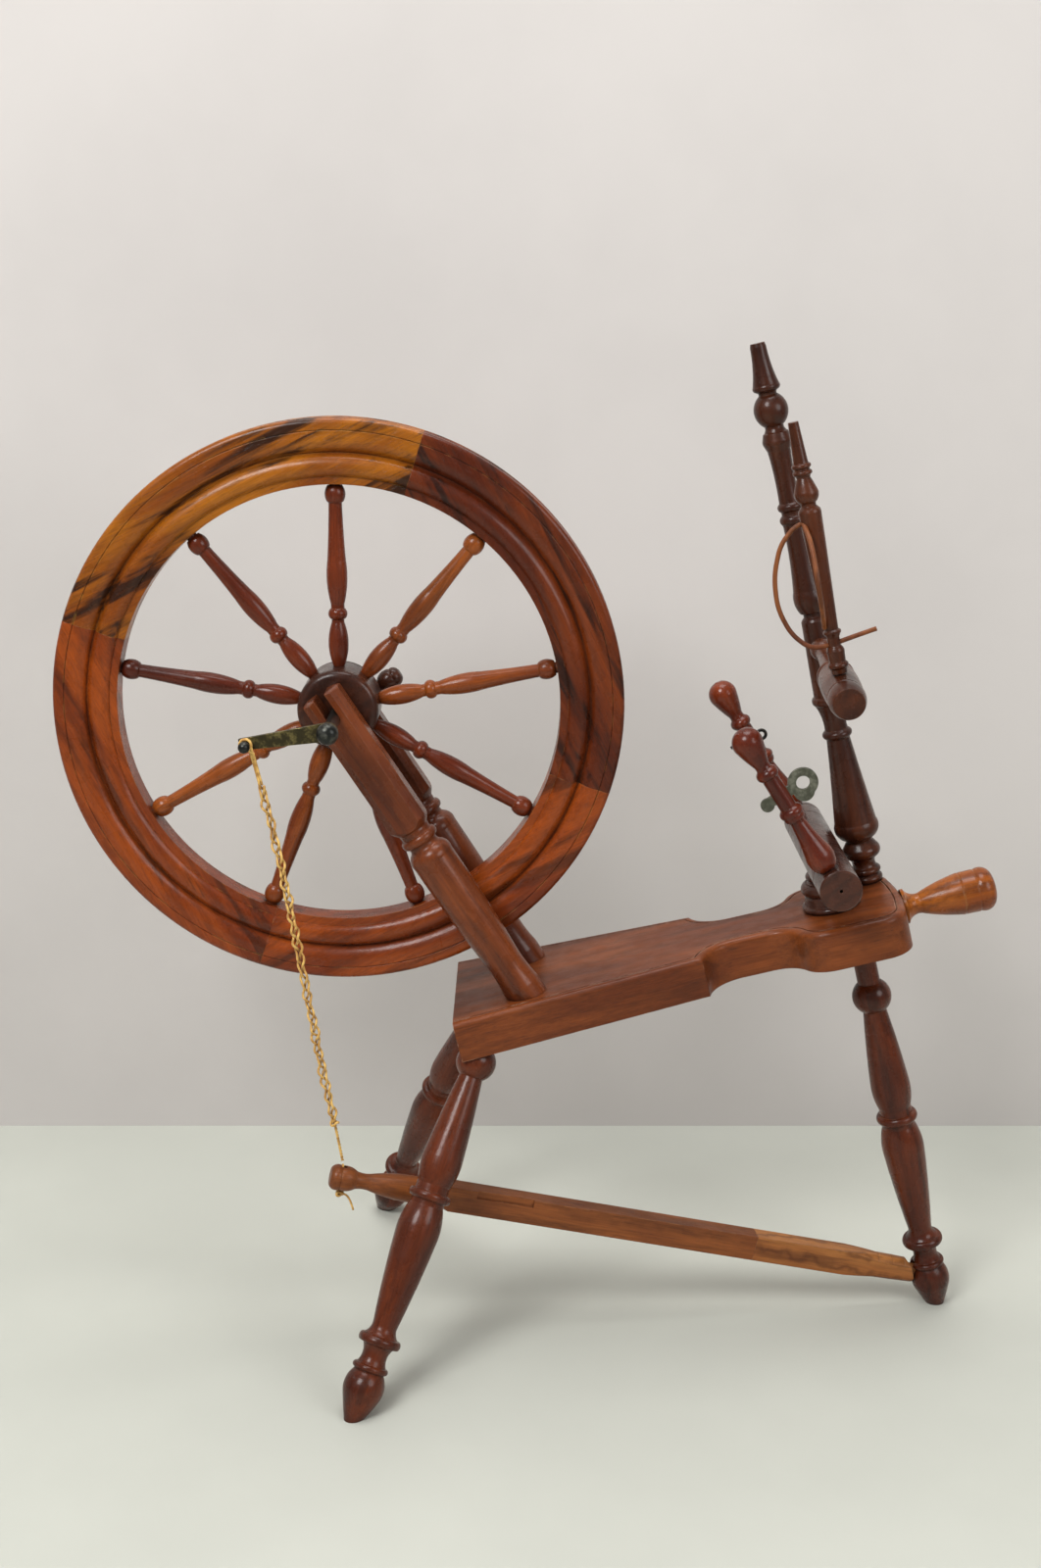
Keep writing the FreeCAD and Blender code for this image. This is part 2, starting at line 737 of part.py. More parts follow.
def wire_shape():
    """A bent wire staple: two legs through the far maiden and a round bend outside it."""
    centre = barrel_centre + V(0, maiden_half_spacing, 0) + maiden_axis * 98.0
    spread = maiden_axis * wire_bend_radius
    bend = centre + maiden_side * 10.5
    top_end = centre - maiden_side * 21.0 + spread
    low_end = centre - maiden_side * 15.0 - spread
    arc = Part.Arc(bend + spread, bend + maiden_side * wire_bend_radius, bend - spread).toShape()
    path = Part.Wire([line(top_end, bend + spread), arc, line(bend - spread, low_end)])
    ring = Part.Wire([Part.makeCircle(wire_radius, top_end, maiden_side)])
    return path.makePipeShell([ring], True, False)


# ---- tension screw
def tension_screw():
    steps = [
        (screw_inner_end + fit_gap, screw_radius),
        (screw_retainer_at - screw_retainer_radius - 0.5, screw_radius),
        (screw_retainer_at - screw_retainer_radius - 0.5, screw_radius - screw_groove - fit_gap),
        (screw_retainer_at + screw_retainer_radius + 0.5, screw_radius - screw_groove - fit_gap),
        (screw_retainer_at + screw_retainer_radius + 0.5, screw_radius),
        (bench_length + bench_end_bulge + fit_gap, screw_radius),
        (bench_length + bench_end_bulge + fit_gap, 16.0),
    ]
    start = bench_length + bench_end_bulge
    steps += [
        (start + 3.0, 16.4),
        (start + 6.0, 12.2, start + 16.0, 9.6),
        (start + 34.0, 15.4, start + 54.0, 19.6),
        (start + 55.0, 19.0),
        (start + 56.0, 19.6),
        (start + 68.0, 19.8),
        (start + 69.0, 19.2),
        (start + 70.0, 19.6),
        (start + handle_length - 6.0, 18.6, start + handle_length - 2.0, 14.0),
        (start + handle_length - 0.8, 10.5, start + handle_length - 0.3, 6.0),
        (start + handle_length, 0.0),
    ]
    return turned(steps, on_bench(0, 0, -screw_depth), along)


def screw_retainer():
    top = -screw_depth - screw_radius + screw_groove
    foot = on_bench(screw_retainer_at, 0, -bench_thick)
    return rod(foot, on_bench(screw_retainer_at, 0, top), screw_retainer_radius)


# ---- distaff post, arm and stick
post_base = on_bench(post_at, post_y, 0)
post_steps = [
    (-post_tenon_depth, post_tenon_radius),
    (fit_gap, post_tenon_radius),
    (fit_gap, 13.6),
    (3.4, 15.0, 6.4, 13.4),
    (7.4, 12.2),
    (8.4, 13.0),
    (11.2, 14.6, 14.0, 12.8),
    (15.0, 11.6),
    (20.0, 10.8, 24.0, 13.0),
    (30.0, 17.8, 35.0, 16.4),
    (38.5, 14.0),
    (41.0, 12.0),
    (43.0, 13.2),
    (50.0, 20.0, 60.0, 19.6),
    (98.0, 15.2, 142.0, 10.8),
    (143.5, 12.4),
    (146.5, 13.8, 149.5, 12.4),
    (151.0, 10.6),
    (164.0, 11.2, 176.0, 15.0),
    (177.0, 16.2),
    (180.0, 17.0, 183.0, 16.0),
    (184.0, 14.4),
    (255.0, 11.8),
    (257.0, 10.6),
    (259.0, 8.6),
    (262.0, 8.6),
    (263.0, 11.0),
    (272.0, 14.4, 284.0, 13.4),
    (312.0, 10.8, 344.0, 10.2),
    (345.5, 10.6),
    (349.0, 12.2, 352.5, 10.8),
    (354.0, 9.4),
    (356.5, 9.4),
    (358.0, 10.8),
    (361.0, 12.0, 364.0, 10.6),
    (365.0, 9.6),
    (392.0, 9.2, 412.0, 10.4),
    (419.0, 13.2),
    (421.0, 13.4),
    (428.0, 11.4),
    (429.0, 9.8),
    (432.0, 8.4),
    (434.0, 8.4),
    (448.0, 15.4, 462.0, 8.0),
    (464.0, 8.2),
    (466.0, 11.4),
    (468.0, 12.4, 470.5, 11.8),
    (486.0, 8.6, 504.0, 7.2),
    (post_length, 6.4),
]
arm_start = post_base + normal * (post_length - arm_height)
arm_axis = V(-arm_shift, -arm_length, -arm_drop).normalize()
arm_steps = [
    (-16.0, arm_tenon_radius),
    (14.6, arm_tenon_radius),
    (14.6, 8.4),
    (22.0, 10.4, 31.0, 7.4),
    (33.0, 6.8),
    (70.0, 7.8, 108.0, 10.4),
    (111.0, 11.4),
    (118.0, 13.4),
    (119.0, 15.0),
    (122.0, 16.2, 125.0, 15.4),
    (126.0, 14.8),
    (127.0, 15.6),
    (150.0, 16.4, 190.0, 15.4),
    (191.0, 14.6),
    (192.0, 15.4),
    (204.0, 15.0, arm_length, 13.0),
]
stick_seat = arm_start + arm_axis * stick_at
stick_tilt = math.radians(stick_lean)
stick_axis = V(-math.sin(stick_tilt), 0, math.cos(stick_tilt))
stick_steps = [
    (-10.0, stick_tenon_radius),
    (16.9, stick_tenon_radius),
    (16.9, 6.6),
    (20.5, 7.0),
    (22.0, 8.2),
    (23.8, 8.6, 25.6, 7.6),
    (26.6, 6.8),
    (36.0, 7.4),
    (38.0, 6.6),
    (40.0, 5.2),
    (47.0, 5.2),
    (49.5, 6.4),
    (51.0, 7.4),
    (52.6, 7.4),
    (54.0, 5.6),
    (152.0, 9.4),
    (154.0, 8.8),
    (157.0, 6.2),
    (159.0, 6.2),
    (162.0, 8.8, 168.0, 10.0),
    (174.0, 8.0, 180.0, 5.6),
    (182.0, 6.4),
    (184.0, 8.0, 186.0, 6.4),
    (187.5, 6.4),
    (189.5, 8.0, 191.5, 6.2),
    (193.0, 6.0),
    (stick_length, 4.2),
]


def distaff_post():
    wood = turned(post_steps, post_base, normal)
    bore = arm_tenon_radius + running_clearance
    return wood.cut(rod(arm_start - arm_axis * 40, arm_start + arm_axis * 40, bore))


def distaff_arm():
    wood = turned(arm_steps, arm_start, arm_axis)
    bore = stick_tenon_radius + running_clearance
    return wood.cut(rod(stick_seat - stick_axis * 10.5, stick_seat + stick_axis * 40, bore))


def stick_point(height, side=0.0, near=0.0):
    """A point beside the distaff stick: side is away from the wheel, near is to the front."""
    side_axis = V(math.cos(stick_tilt), 0, math.sin(stick_tilt))
    return stick_seat + stick_axis * height + side_axis * side + V(0, -near, 0)


def rib_routes():
    """The two ribs that remain of the cage, from their top holes to the tie hole."""
    loop = [
        stick_point(145.0, 0.0),
        stick_point(143.0, -14.0),
        stick_point(131.0, -28.0),
        stick_point(107.0, -38.0),
        stick_point(80.0, -40.0),
        stick_point(57.0, -33.0),
        stick_point(42.0, -20.0),
        stick_point(41.0, -4.0),
        stick_point(43.5, 12.0),
        stick_point(46.5, 36.0),
    ]
    bowed = [
        stick_point(146.0, -7.0, 0.5),
        stick_point(130.0, -6.0, 22.0),
        stick_point(100.0, -8.0, 34.0),
        stick_point(76.0, -8.0, 28.0),
        stick_point(57.0, -6.0, 3.5),
    ]
    return loop, bowed


def distaff():
    wood = turned(stick_steps, stick_seat, stick_axis)
    for route in rib_routes():
        wood = wood.cut(tube(route, rib_radius))
    return wood


# ---- treadle
right_axis_point = right_foot + normal * (treadle_pivot_height / normal.z)
treadle_pivot = right_axis_point
treadle_axis = (treadle_knob - treadle_pivot).normalize()
treadle_hinge = V(-treadle_axis.y, treadle_axis.x, 0).normalize()
if treadle_hinge.y < 0:
    treadle_hinge = treadle_hinge.negative()
treadle_length = (treadle_knob - treadle_pivot).Length
treadle_up = treadle_hinge.cross(treadle_axis)
if treadle_up.z < 0:
    treadle_up = treadle_up.negative()


def treadle_point(distance, side=0.0, up=0.0):
    """Distance runs from the knob to the pivot."""
    return treadle_knob - treadle_axis * distance + treadle_hinge * side + treadle_up * up


def treadle_box(start, end, thick, high, up=0.0):
    box = Part.makeBox(end - start, thick, high, V(start, -thick / 2, up - high / 2))
    turn = FreeCAD.Rotation(treadle_axis.negative(), treadle_hinge, treadle_up, "XZY")
    box.Placement = FreeCAD.Placement(treadle_knob, turn)
    return box


knob_steps = [
    (-12.0, 8.0),
    (-9.0, 11.0, -3.0, 11.3),
    (-2.4, 10.8),
    (-1.8, 11.3),
    (6.0, 11.0, 12.0, 8.2),
    (18.0, 7.2, 24.0, 7.6),
    (58.0, 12.4, 92.0, 9.6),
    (treadle_square_start + 6.0, 8.6),
]


def treadle_bar():
    wood = turned(knob_steps, treadle_knob, treadle_axis.negative())
    beam = treadle_box(treadle_square_start - 12, treadle_splice_at, treadle_beam_thick, treadle_beam_height)
    envelope = [
        (treadle_square_start - 12.0, 9.4),
        (treadle_square_start - 4.0, 11.6, treadle_square_start + 6.0, 17.0),
        (treadle_splice_at, 17.0),
    ]
    beam = beam.common(turned(envelope, treadle_knob, treadle_axis.negative()))
    wood = wood.fuse(beam)
    mortise = treadle_box(124.0, 178.0, treadle_beam_thick, 7.0, treadle_beam_height / 2 - 3.5)
    mortise.translate(treadle_hinge * (2.0 - treadle_beam_thick))
    wood = wood.cut(mortise)
    top = treadle_point(0, 0, 30)
    return wood.cut(rod(top, treadle_point(0, 0, -30), cord_hole_radius)).removeSplitter()


def treadle_end():
    """The spliced end: square at the joint, rounded and coped where it meets the leg."""
    last = treadle_length - leg_bulb_radius
    block = treadle_box(treadle_splice_at, last, treadle_beam_thick + 4.0, treadle_beam_height)
    envelope = [
        (treadle_splice_at, 17.0),
        (treadle_splice_at + 70.0, 16.4, last - 44.0, 12.4),
        (last - 40.0, 12.0),
        (last - 39.4, 11.4),
        (last - 38.8, 12.0),
        (last - 26.0, 11.8),
        (last - 25.4, 11.2),
        (last - 24.8, 11.8),
        (last - 13.0, 11.4),
        (last - 12.4, 10.8),
        (last - 11.8, 11.4),
        (last - 1.0, 11.0),
        (last, 10.0),
    ]
    round_end = turned(envelope, treadle_knob, treadle_axis.negative())
    slab = treadle_box(treadle_splice_at, last, treadle_beam_thick, treadle_beam_height)
    cope = leg_bulb_radius + treadle_leg_gap
    wood = slab.common(round_end).cut(rod(treadle_pivot - normal * 60, treadle_pivot + normal * 60, cope))
    tongue = treadle_box(last - 12.0, treadle_length + 6.0, treadle_tongue_thick, 12.0)
    wood = wood.fuse(tongue).removeSplitter()
    pin = treadle_pin_radius + running_clearance
    hole = rod(treadle_pivot - treadle_hinge * 30, treadle_pivot + treadle_hinge * 30, pin)
    return wood.cut(hole)


def treadle_pin():
    return rod(treadle_pivot - treadle_hinge * 17, treadle_pivot + treadle_hinge * 17, treadle_pin_radius)


def right_leg():
    wood = leg(*leg_parts()[2])
    slot = treadle_box(treadle_length - 30, treadle_length + 8.4, treadle_tongue_thick + 2 * fit_gap, 19.0)
    wood = wood.cut(slot)
    return wood.cut(treadle_pin())


def treadle_knot():
    """The strand through the knob, the stopper knot under it and its tail."""
    under = treadle_point(0, 0, -11.3 - knot_radius)
    strand = rod(treadle_point(0, 0, 14.0), under, twine_radius)
    knot = Part.makeSphere(knot_radius, under)
    tail = [under + V(2, 0, -2), under + V(5, -3, -5), under + V(10, -4, -9), under + V(13, -5, -15)]
    return strand.fuse(knot).fuse(tube(tail, twine_radius))


def parts():
    """Every piece by its node name."""
    near_tenon, far_tenon = upright_tenons()
    near_leg, far_leg, _ = leg_parts()
    loop, bowed = rib_routes()
    made = {
        "bench": bench(),
        "front_left_leg": leg(*near_leg),
        "rear_left_leg": leg(*far_leg),
        "right_leg": right_leg(),
        "front_upright": upright(-1, near_tenon),
        "rear_upright": upright(1, far_tenon),
        "bearing_peg": bearing_peg(),
        "screw_retainer": screw_retainer(),
        "hub": hub(),
        "axle": axle(),
        "crank_arm": crank_arm(),
        "axle_nut": axle_nut(),
        "crank_pin": crank_pin(),
        "footman_cord": tube(footman_route, footman_radius),
        "footman_loop": footman_loop(),
        "treadle_bar": treadle_bar(),
        "treadle_end": treadle_end(),
        "treadle_pin": treadle_pin(),
        "treadle_knot": treadle_knot(),
        "mother_of_all_barrel": mother_of_all_barrel(),
        "mother_of_all_pillar": mother_of_all_pillar(),
        "front_maiden": maiden(-1),
        "rear_maiden": maiden(1),
        "front_bearing": front_bearing(),
        "rear_bearing": wire_shape(),
        "tension_screw": tension_screw(),
        "distaff_post": distaff_post(),
        "distaff_arm": distaff_arm(),
        "distaff_stick": distaff(),
        "loop_rib": tube(loop, rib_radius),
        "bowed_rib": tube(bowed, rib_radius).cut(tube(loop, rib_radius)),
    }
    for number in range(1, felloe_count + 1):
        made["felloe_%d" % number] = felloe(number)
    for number in range(1, spoke_count + 1):
        made["spoke_%d" % number] = spoke(number)
    return made


def main():
    os.makedirs("parts", exist_ok=True)
    made = parts()
    soft = ("footman_cord", "footman_loop", "treadle_knot")
    box = FreeCAD.BoundBox()
    for name, shape in made.items():
        if name in soft:
            continue
        for point in shape.tessellate(0.05)[0]:
            box.add(point)
    shift = V(-box.Center.x, -box.Center.y, -box.ZMin)
    for name, shape in made.items():
        shape = shape.copy()
        shape.translate(shift)
        if shape.ShapeType == "Compound" and len(shape.Solids) == 1:
            shape = shape.Solids[0]
        shape.exportStep("parts/%s.step" % name)
        print(name, shape.ShapeType, len(shape.Solids), shape.isValid(), round(shape.Volume))
    print("box", box.XLength, box.YLength, box.ZLength)
    print("shift", shift)
    for label, point, axis in [
        ("axle", axle_centre, V(0, 1, 0)),
        ("crank pin", loop_centre, V(0, 1, 0)),
        ("treadle", treadle_pivot, treadle_hinge),
        ("peg", axle_centre + V(0, upright_half_spacing, 0) + down_post * peg_drop, across_post),
        ("tension screw", on_bench(bench_length, 0, -screw_depth), along),
        ("front maiden", barrel_centre + V(0, -maiden_half_spacing, 0), maiden_axis),
        ("rear maiden", barrel_centre + V(0, maiden_half_spacing, 0), maiden_axis),
        ("distaff post", post_base, normal),
        ("distaff arm", arm_start, arm_axis),
        ("distaff stick", stick_seat, stick_axis),
        ("flyer bore", barrel_centre + V(0, -maiden_half_spacing, 0) + maiden_axis * flyer_bore_height
         + maiden_side * flyer_bore_reach, V(0, 1, 0)),
    ]:
        point = point + shift
        print(label, [round(c / 1000, 5) for c in point], [round(c, 5) for c in axis])


main()
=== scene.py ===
import bmesh
import bpy
import json
import math
import numpy as np
from mathutils import Matrix, Vector


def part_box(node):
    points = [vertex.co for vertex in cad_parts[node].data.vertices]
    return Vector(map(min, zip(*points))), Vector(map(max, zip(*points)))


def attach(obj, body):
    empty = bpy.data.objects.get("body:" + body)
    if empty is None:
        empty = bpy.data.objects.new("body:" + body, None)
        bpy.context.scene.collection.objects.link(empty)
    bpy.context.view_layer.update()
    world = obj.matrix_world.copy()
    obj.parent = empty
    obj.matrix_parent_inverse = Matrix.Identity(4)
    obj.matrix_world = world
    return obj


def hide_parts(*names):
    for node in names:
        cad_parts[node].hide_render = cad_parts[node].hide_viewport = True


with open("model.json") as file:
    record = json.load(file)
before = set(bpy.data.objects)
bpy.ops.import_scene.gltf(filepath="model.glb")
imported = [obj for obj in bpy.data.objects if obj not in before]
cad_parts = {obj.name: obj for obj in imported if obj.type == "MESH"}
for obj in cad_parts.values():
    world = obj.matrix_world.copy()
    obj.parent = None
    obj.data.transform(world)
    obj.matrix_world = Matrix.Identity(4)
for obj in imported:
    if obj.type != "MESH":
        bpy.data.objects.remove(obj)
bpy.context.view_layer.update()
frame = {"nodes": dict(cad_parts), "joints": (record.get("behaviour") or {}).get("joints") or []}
nodes = frame["nodes"]
print("frame loaded:", len(nodes), "nodes")


axleX = [j for j in frame["joints"] if j["name"] == "wheel_spin"][0]["pos_m"][0]
cameraSettings = {
    "place": (axleX + 0.16144, -1.6538, 0.9475),
    "tilt": 75.5,            # degrees, 90 looks level
    "sensorHeight": 24.0,
    "lens": 28.89,
}


def makeCamera(settings):
    camera = bpy.data.cameras.new("camera")
    camera.sensor_fit = "VERTICAL"
    camera.sensor_height = settings["sensorHeight"]
    camera.lens = settings["lens"]
    camera.clip_start = 0.01
    cameraObject = bpy.data.objects.new("camera", camera)
    cameraObject.location = settings["place"]
    cameraObject.rotation_euler = (math.radians(settings["tilt"]), 0, 0)
    bpy.context.scene.collection.objects.link(cameraObject)
    bpy.context.scene.camera = cameraObject


makeCamera(cameraSettings)
print("camera placed")


twine = {
    "eyeCentre": Vector((axleX - 0.06925, -0.114, 0.58277)),
    "eyeRadius": 0.0050,
    "eyeLift": 0.0006,
    "secondTurnOffset": 0.001,   # how far in front the second turn of the eye lies
    "strand": 0.0011,            # radius
    "pitch": 0.0350,             # one full weave of the plait
    "lump": 0.0165,              # spacing of the stitches
    "plaitHalfWidth": 0.0027,
    "plaitHalfDepth": 0.0019,
    "plaitTop": 0.030,           # lengths along the route, from its top
    "plaitBottom": 0.358,
    "plyRadius": 0.00065,        # the two plies of the single strand below the plait
    "plyPitch": 0.0065,
    "knotRadius": 0.0034,
    "knotWave": 0.0012,
    "samples": 1500,
    "sides": 8,
}
footmanRoute = [
    (-0.0640, -0.1140, 0.5760),
    (-0.0578, -0.1110, 0.5480),
    (-0.0498, -0.1064, 0.5080),
    (-0.0422, -0.1023, 0.4636),
    (-0.0348, -0.0976, 0.4131),
    (-0.0286, -0.0934, 0.3690),
    (-0.0219, -0.0890, 0.3220),
    (-0.0154, -0.0848, 0.2760),
    (-0.0070, -0.0806, 0.2300),
    (-0.0004, -0.0768, 0.1860),
]


def splineCurve(name, points):
    curve = bpy.data.curves.new(name, "CURVE")
    curve.dimensions = "3D"
    spline = curve.splines.new("NURBS")
    spline.points.add(len(points) - 1)
    for splinePoint, place in zip(spline.points, points):
        splinePoint.co = (*place, 1)
    spline.order_u = 3
    spline.use_endpoint_u = True
    spline.resolution_u = 24
    return bpy.data.objects.new(name, curve)


# Points read from the smooth line of a route.
def splinePoints(points):
    line = splineCurve("line", points)
    mesh = bpy.data.meshes.new_from_object(line)
    found = [vertex.co.copy() for vertex in mesh.vertices]
    bpy.data.objects.remove(line)
    bpy.data.meshes.remove(mesh)
    return found


# The same line as count evenly spaced points.
def evenly(points, count):
    lengths = [0.0]
    for a, b in zip(points, points[1:]):
        lengths.append(lengths[-1] + (b - a).length)
    placed = []
    segment = 0
    for step in range(count):
        wanted = lengths[-1] * step / (count - 1)
        while segment < len(points) - 2 and lengths[segment + 1] < wanted:
            segment += 1
        share = (wanted - lengths[segment]) / (lengths[segment + 1] - lengths[segment])
        placed.append(points[segment].lerp(points[segment + 1], share))
    return placed, lengths[-1]


def linkMesh(name, bm, smooth=True):
    mesh = bpy.data.meshes.new(name)
    bm.to_mesh(mesh)
    bm.free()
    for polygon in mesh.polygons:
        polygon.use_smooth = smooth
    obj = bpy.data.objects.new(name, mesh)
    bpy.context.scene.collection.objects.link(obj)
    return obj


# Sweeps a ring along points and closes both ends with rounded tips.
def addStrand(bm, points, radius, sides):
    forward = (points[1] - points[0]).normalized()
    side = forward.orthogonal().normalized()
    rings = []
    for index, point in enumerate(points):
        ahead = points[min(index + 1, len(points) - 1)]
        behind = points[max(index - 1, 0)]
        direction = (ahead - behind).normalized()
        side = (side - direction * side.dot(direction)).normalized()
        across = direction.cross(side)
        ring = bmesh.ops.create_circle(bm, cap_ends=False, segments=sides, radius=radius)["verts"]
        turn = Matrix((side, across, direction)).transposed().to_4x4()
        bmesh.ops.transform(bm, matrix=Matrix.Translation(point) @ turn, verts=ring)
        rings.append(ring)
    for first, second in zip(rings, rings[1:]):
        for corner in range(sides):
            after = (corner + 1) % sides
            bm.faces.new((first[corner], first[after], second[after], second[corner]))
    for ring, outward in ((rings[0], points[0] - points[1]), (rings[-1], points[-1] - points[-2])):
        middle = sum((v.co for v in ring), Vector()) / sides
        tip = bm.verts.new(middle + outward.normalized() * radius * 0.6)
        for corner in range(sides):
            bm.faces.new((ring[corner], ring[(corner + 1) % sides], tip))
    bmesh.ops.recalc_face_normals(bm, faces=bm.faces)


# Route points are measured from the axle, so they move to the frame's own X.
def shifted(points):
    return [Vector((x + axleX, y, z)) for x, y, z in points]


def routeAxes(points, index):
    ahead = points[min(index + 1, len(points) - 1)]
    behind = points[max(index - 1, 0)]
    along = (ahead - behind).normalized()
    across = along.cross(Vector((0, 1, 0))).normalized()
    return along, across, across.cross(along).normalized()


# A point of one of the plait's three strands, which loosens and tightens from stitch to stitch.
def plaitPoint(line, index, reached, strand, settings):
    along, across, depth = routeAxes(line, index)
    swell = min(1.0, max(0.0, (reached - settings["plaitTop"] * 0.5) / 0.02))
    swell *= min(1.0, (settings["plaitBottom"] - reached) / 0.012 + 0.25)
    stitch = 2 * math.pi * reached / settings["lump"] + 1.6 * math.sin(reached * 38.0)
    loose = 1.0 + 0.34 * math.sin(stitch + strand * 0.9) + 0.15 * math.sin(reached * 143.0 + 1.3)
    turn = 2 * math.pi * (reached / settings["pitch"] + strand / 3) + 0.5 * math.sin(reached * 47.0)
    wide = settings["plaitHalfWidth"] * swell * loose * math.sin(turn)
    deep = settings["plaitHalfDepth"] * swell * math.sin(2 * turn + 0.3)
    return line[index] + across * wide + depth * deep


def addPlait(bm, line, reach, settings):
    for strand in range(3):
        start = settings["plaitTop"] if strand else settings["plaitTop"] * 0.2
        path = [plaitPoint(line, index, reached, strand, settings)
                for index, reached in enumerate(reach) if start <= reached <= settings["plaitBottom"]]
        addStrand(bm, path[::3], settings["strand"], settings["sides"])


# Below the plait one strand of two plies goes on to the knob.
def addSingleStrand(bm, line, reach, settings):
    low = [index for index, reached in enumerate(reach) if reached > settings["plaitBottom"] - 0.004]
    for ply in (0, math.pi):
        wound = []
        for index in low[::5] + [low[-1]]:
            along, across, depth = routeAxes(line, index)
            turn = ply + 2 * math.pi * reach[index] / settings["plyPitch"]
            aside = across * math.cos(turn) + depth * math.sin(turn)
            wound.append(line[index] + aside * settings["plyRadius"])
        addStrand(bm, wound, settings["strand"] * 0.75, settings["sides"])


# Above the plait two thin strands come down from the crank pin.
def addDrops(bm, line, settings):
    for side in (-1, 1):
        aside = Vector((settings["strand"] * side, 0, 0))
        drop = [point + aside for point in line[: settings["samples"] // 13][::10]]
        addStrand(bm, drop, settings["strand"] * 0.9, settings["sides"])


def eyeTurn(settings, angle, forward, lift):
    ring = Vector((math.cos(angle), 0, math.sin(angle))) * settings["eyeRadius"]
    return settings["eyeCentre"] + ring + Vector((0, lift * math.sin(angle) - forward, 0))


def addEye(bm, line, settings):
    angles = np.linspace(math.radians(250), math.radians(-60), 40)
    turns = [eyeTurn(settings, angle, 0, settings["eyeLift"]) for angle in angles]
    turns += [turns[-1].lerp(line[0], share) for share in (0.4, 0.8, 1.0)]
    addStrand(bm, turns, settings["strand"], settings["sides"])
    angles = np.linspace(math.radians(290), math.radians(20), 30)
    second = [eyeTurn(settings, angle, settings["secondTurnOffset"], 0) for angle in angles]
    second += [second[-1].lerp(line[20], share) for share in (0.35, 0.75, 1.0)]
    addStrand(bm, second, settings["strand"] * 0.9, settings["sides"])


def addRingKnot(bm, line, reach, settings):
    index = min(range(len(line)), key=lambda i: abs(reach[i] - settings["plaitBottom"]))
    along, across, depth = routeAxes(line, index)
    ring = []
    for angle in np.linspace(0, 2 * math.pi * 1.12, 34):
        aside = across * math.cos(angle) + depth * math.sin(angle)
        wave = along * settings["knotWave"] * math.sin(2 * angle)
        ring.append(line[index] + aside * settings["knotRadius"] + wave)
    addStrand(bm, ring, settings["strand"] * 1.05, settings["sides"])


def finishTwine(name, bm, body, replaced=None):
    piece = linkMesh(name, bm)
    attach(piece, body)
    if replaced:
        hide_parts(replaced)
    return piece


def makeFootman(settings):
    line, length = evenly(splinePoints(shifted(footmanRoute)), settings["samples"])
    reach = [length * index / (settings["samples"] - 1) for index in range(settings["samples"])]
    bm = bmesh.new()
    addPlait(bm, line, reach, settings)
    addSingleStrand(bm, line, reach, settings)
    addDrops(bm, line, settings)
    piece = finishTwine("twine_footman", bm, "footman", "footman_cord")
    bm = bmesh.new()
    addEye(bm, line, settings)
    loop = finishTwine("twine_eye", bm, "footman", "footman_loop")
    bm = bmesh.new()
    addRingKnot(bm, line, reach, settings)
    knot = finishTwine("twine_ring_knot", bm, "footman")
    return [piece, loop, knot]


# The strand goes down through the treadle knob and ends in a knot and a tail under it.
stopperKnot = {
    "knob": Vector((axleX - 0.0004, -0.076, 0.168)),
    "strandTop": Vector((axleX - 0.0002, -0.0764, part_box("treadle_knot")[1].z)),
    "under": Vector((-0.0036, 0, -0.0152)),      # from the knob's middle to the knot's
    "coil": Vector((0.0027, 0.0022, 0.0021)),
    "coilTurns": 2.6,
    "tail": [(0.004, -0.001, 0.0004), (0.0078, -0.002, -0.0022),
             (0.0105, -0.0032, -0.0075), (0.0125, -0.004, -0.0145)],
}


def makeStopperKnot(settings, strand, sides):
    knob, under = settings["knob"], settings["knob"] + settings["under"]
    bm = bmesh.new()
    bends = [knob + Vector((0, 0, 0.006)), knob + Vector((-0.0012, 0, -0.008))]
    through = [settings["strandTop"], *bends, under]
    addStrand(bm, through, strand, sides)
    size = settings["coil"]
    coil = []
    for angle in np.linspace(0, 2 * math.pi * settings["coilTurns"], 70):
        aside = (math.cos(angle) * size.x, math.sin(angle * 1.31) * size.y, math.sin(angle) * size.z)
        coil.append(under + Vector(aside))
    addStrand(bm, coil, strand * 1.05, sides)
    tail = splinePoints([coil[-1]] + [under + Vector(step) for step in settings["tail"]])
    addStrand(bm, tail[::4] + [tail[-1]], strand * 0.9, sides)
    return finishTwine("twine_stopper_knot", bm, "treadle", "treadle_knot")


twinePieces = makeFootman(twine) + [makeStopperKnot(stopperKnot, twine["strand"], twine["sides"])]
print("twine made")


def newGroup(name, inputs, outputs):
    group = bpy.data.node_groups.new(name, "ShaderNodeTree")
    for label, kind, value in inputs:
        socket = group.interface.new_socket(name=label, in_out="INPUT", socket_type=kind)
        if value is not None:
            socket.default_value = value
    for label, kind in outputs:
        group.interface.new_socket(name=label, in_out="OUTPUT", socket_type=kind)
    start = group.nodes.new("NodeGroupInput")
    end = group.nodes.new("NodeGroupOutput")
    return group, start, end


# A node with its settings, and links as (input, output socket).
def add(tree, kind, links=(), **values):
    node = tree.nodes.new(kind)
    for key, value in values.items():
        setattr(node, key, value)
    for where, source in links:
        if hasattr(source, "is_output"):
            tree.links.new(source, node.inputs[where])
        else:
            node.inputs[where].default_value = source
    return node


def calc(tree, operation, first, second=0.5, third=None):
    node = add(tree, "ShaderNodeMath", [(0, first), (1, second)], operation=operation)
    if third is not None:
        if hasattr(third, "is_output"):
            tree.links.new(third, node.inputs[2])
        else:
            node.inputs[2].default_value = third
    return node.outputs[0]


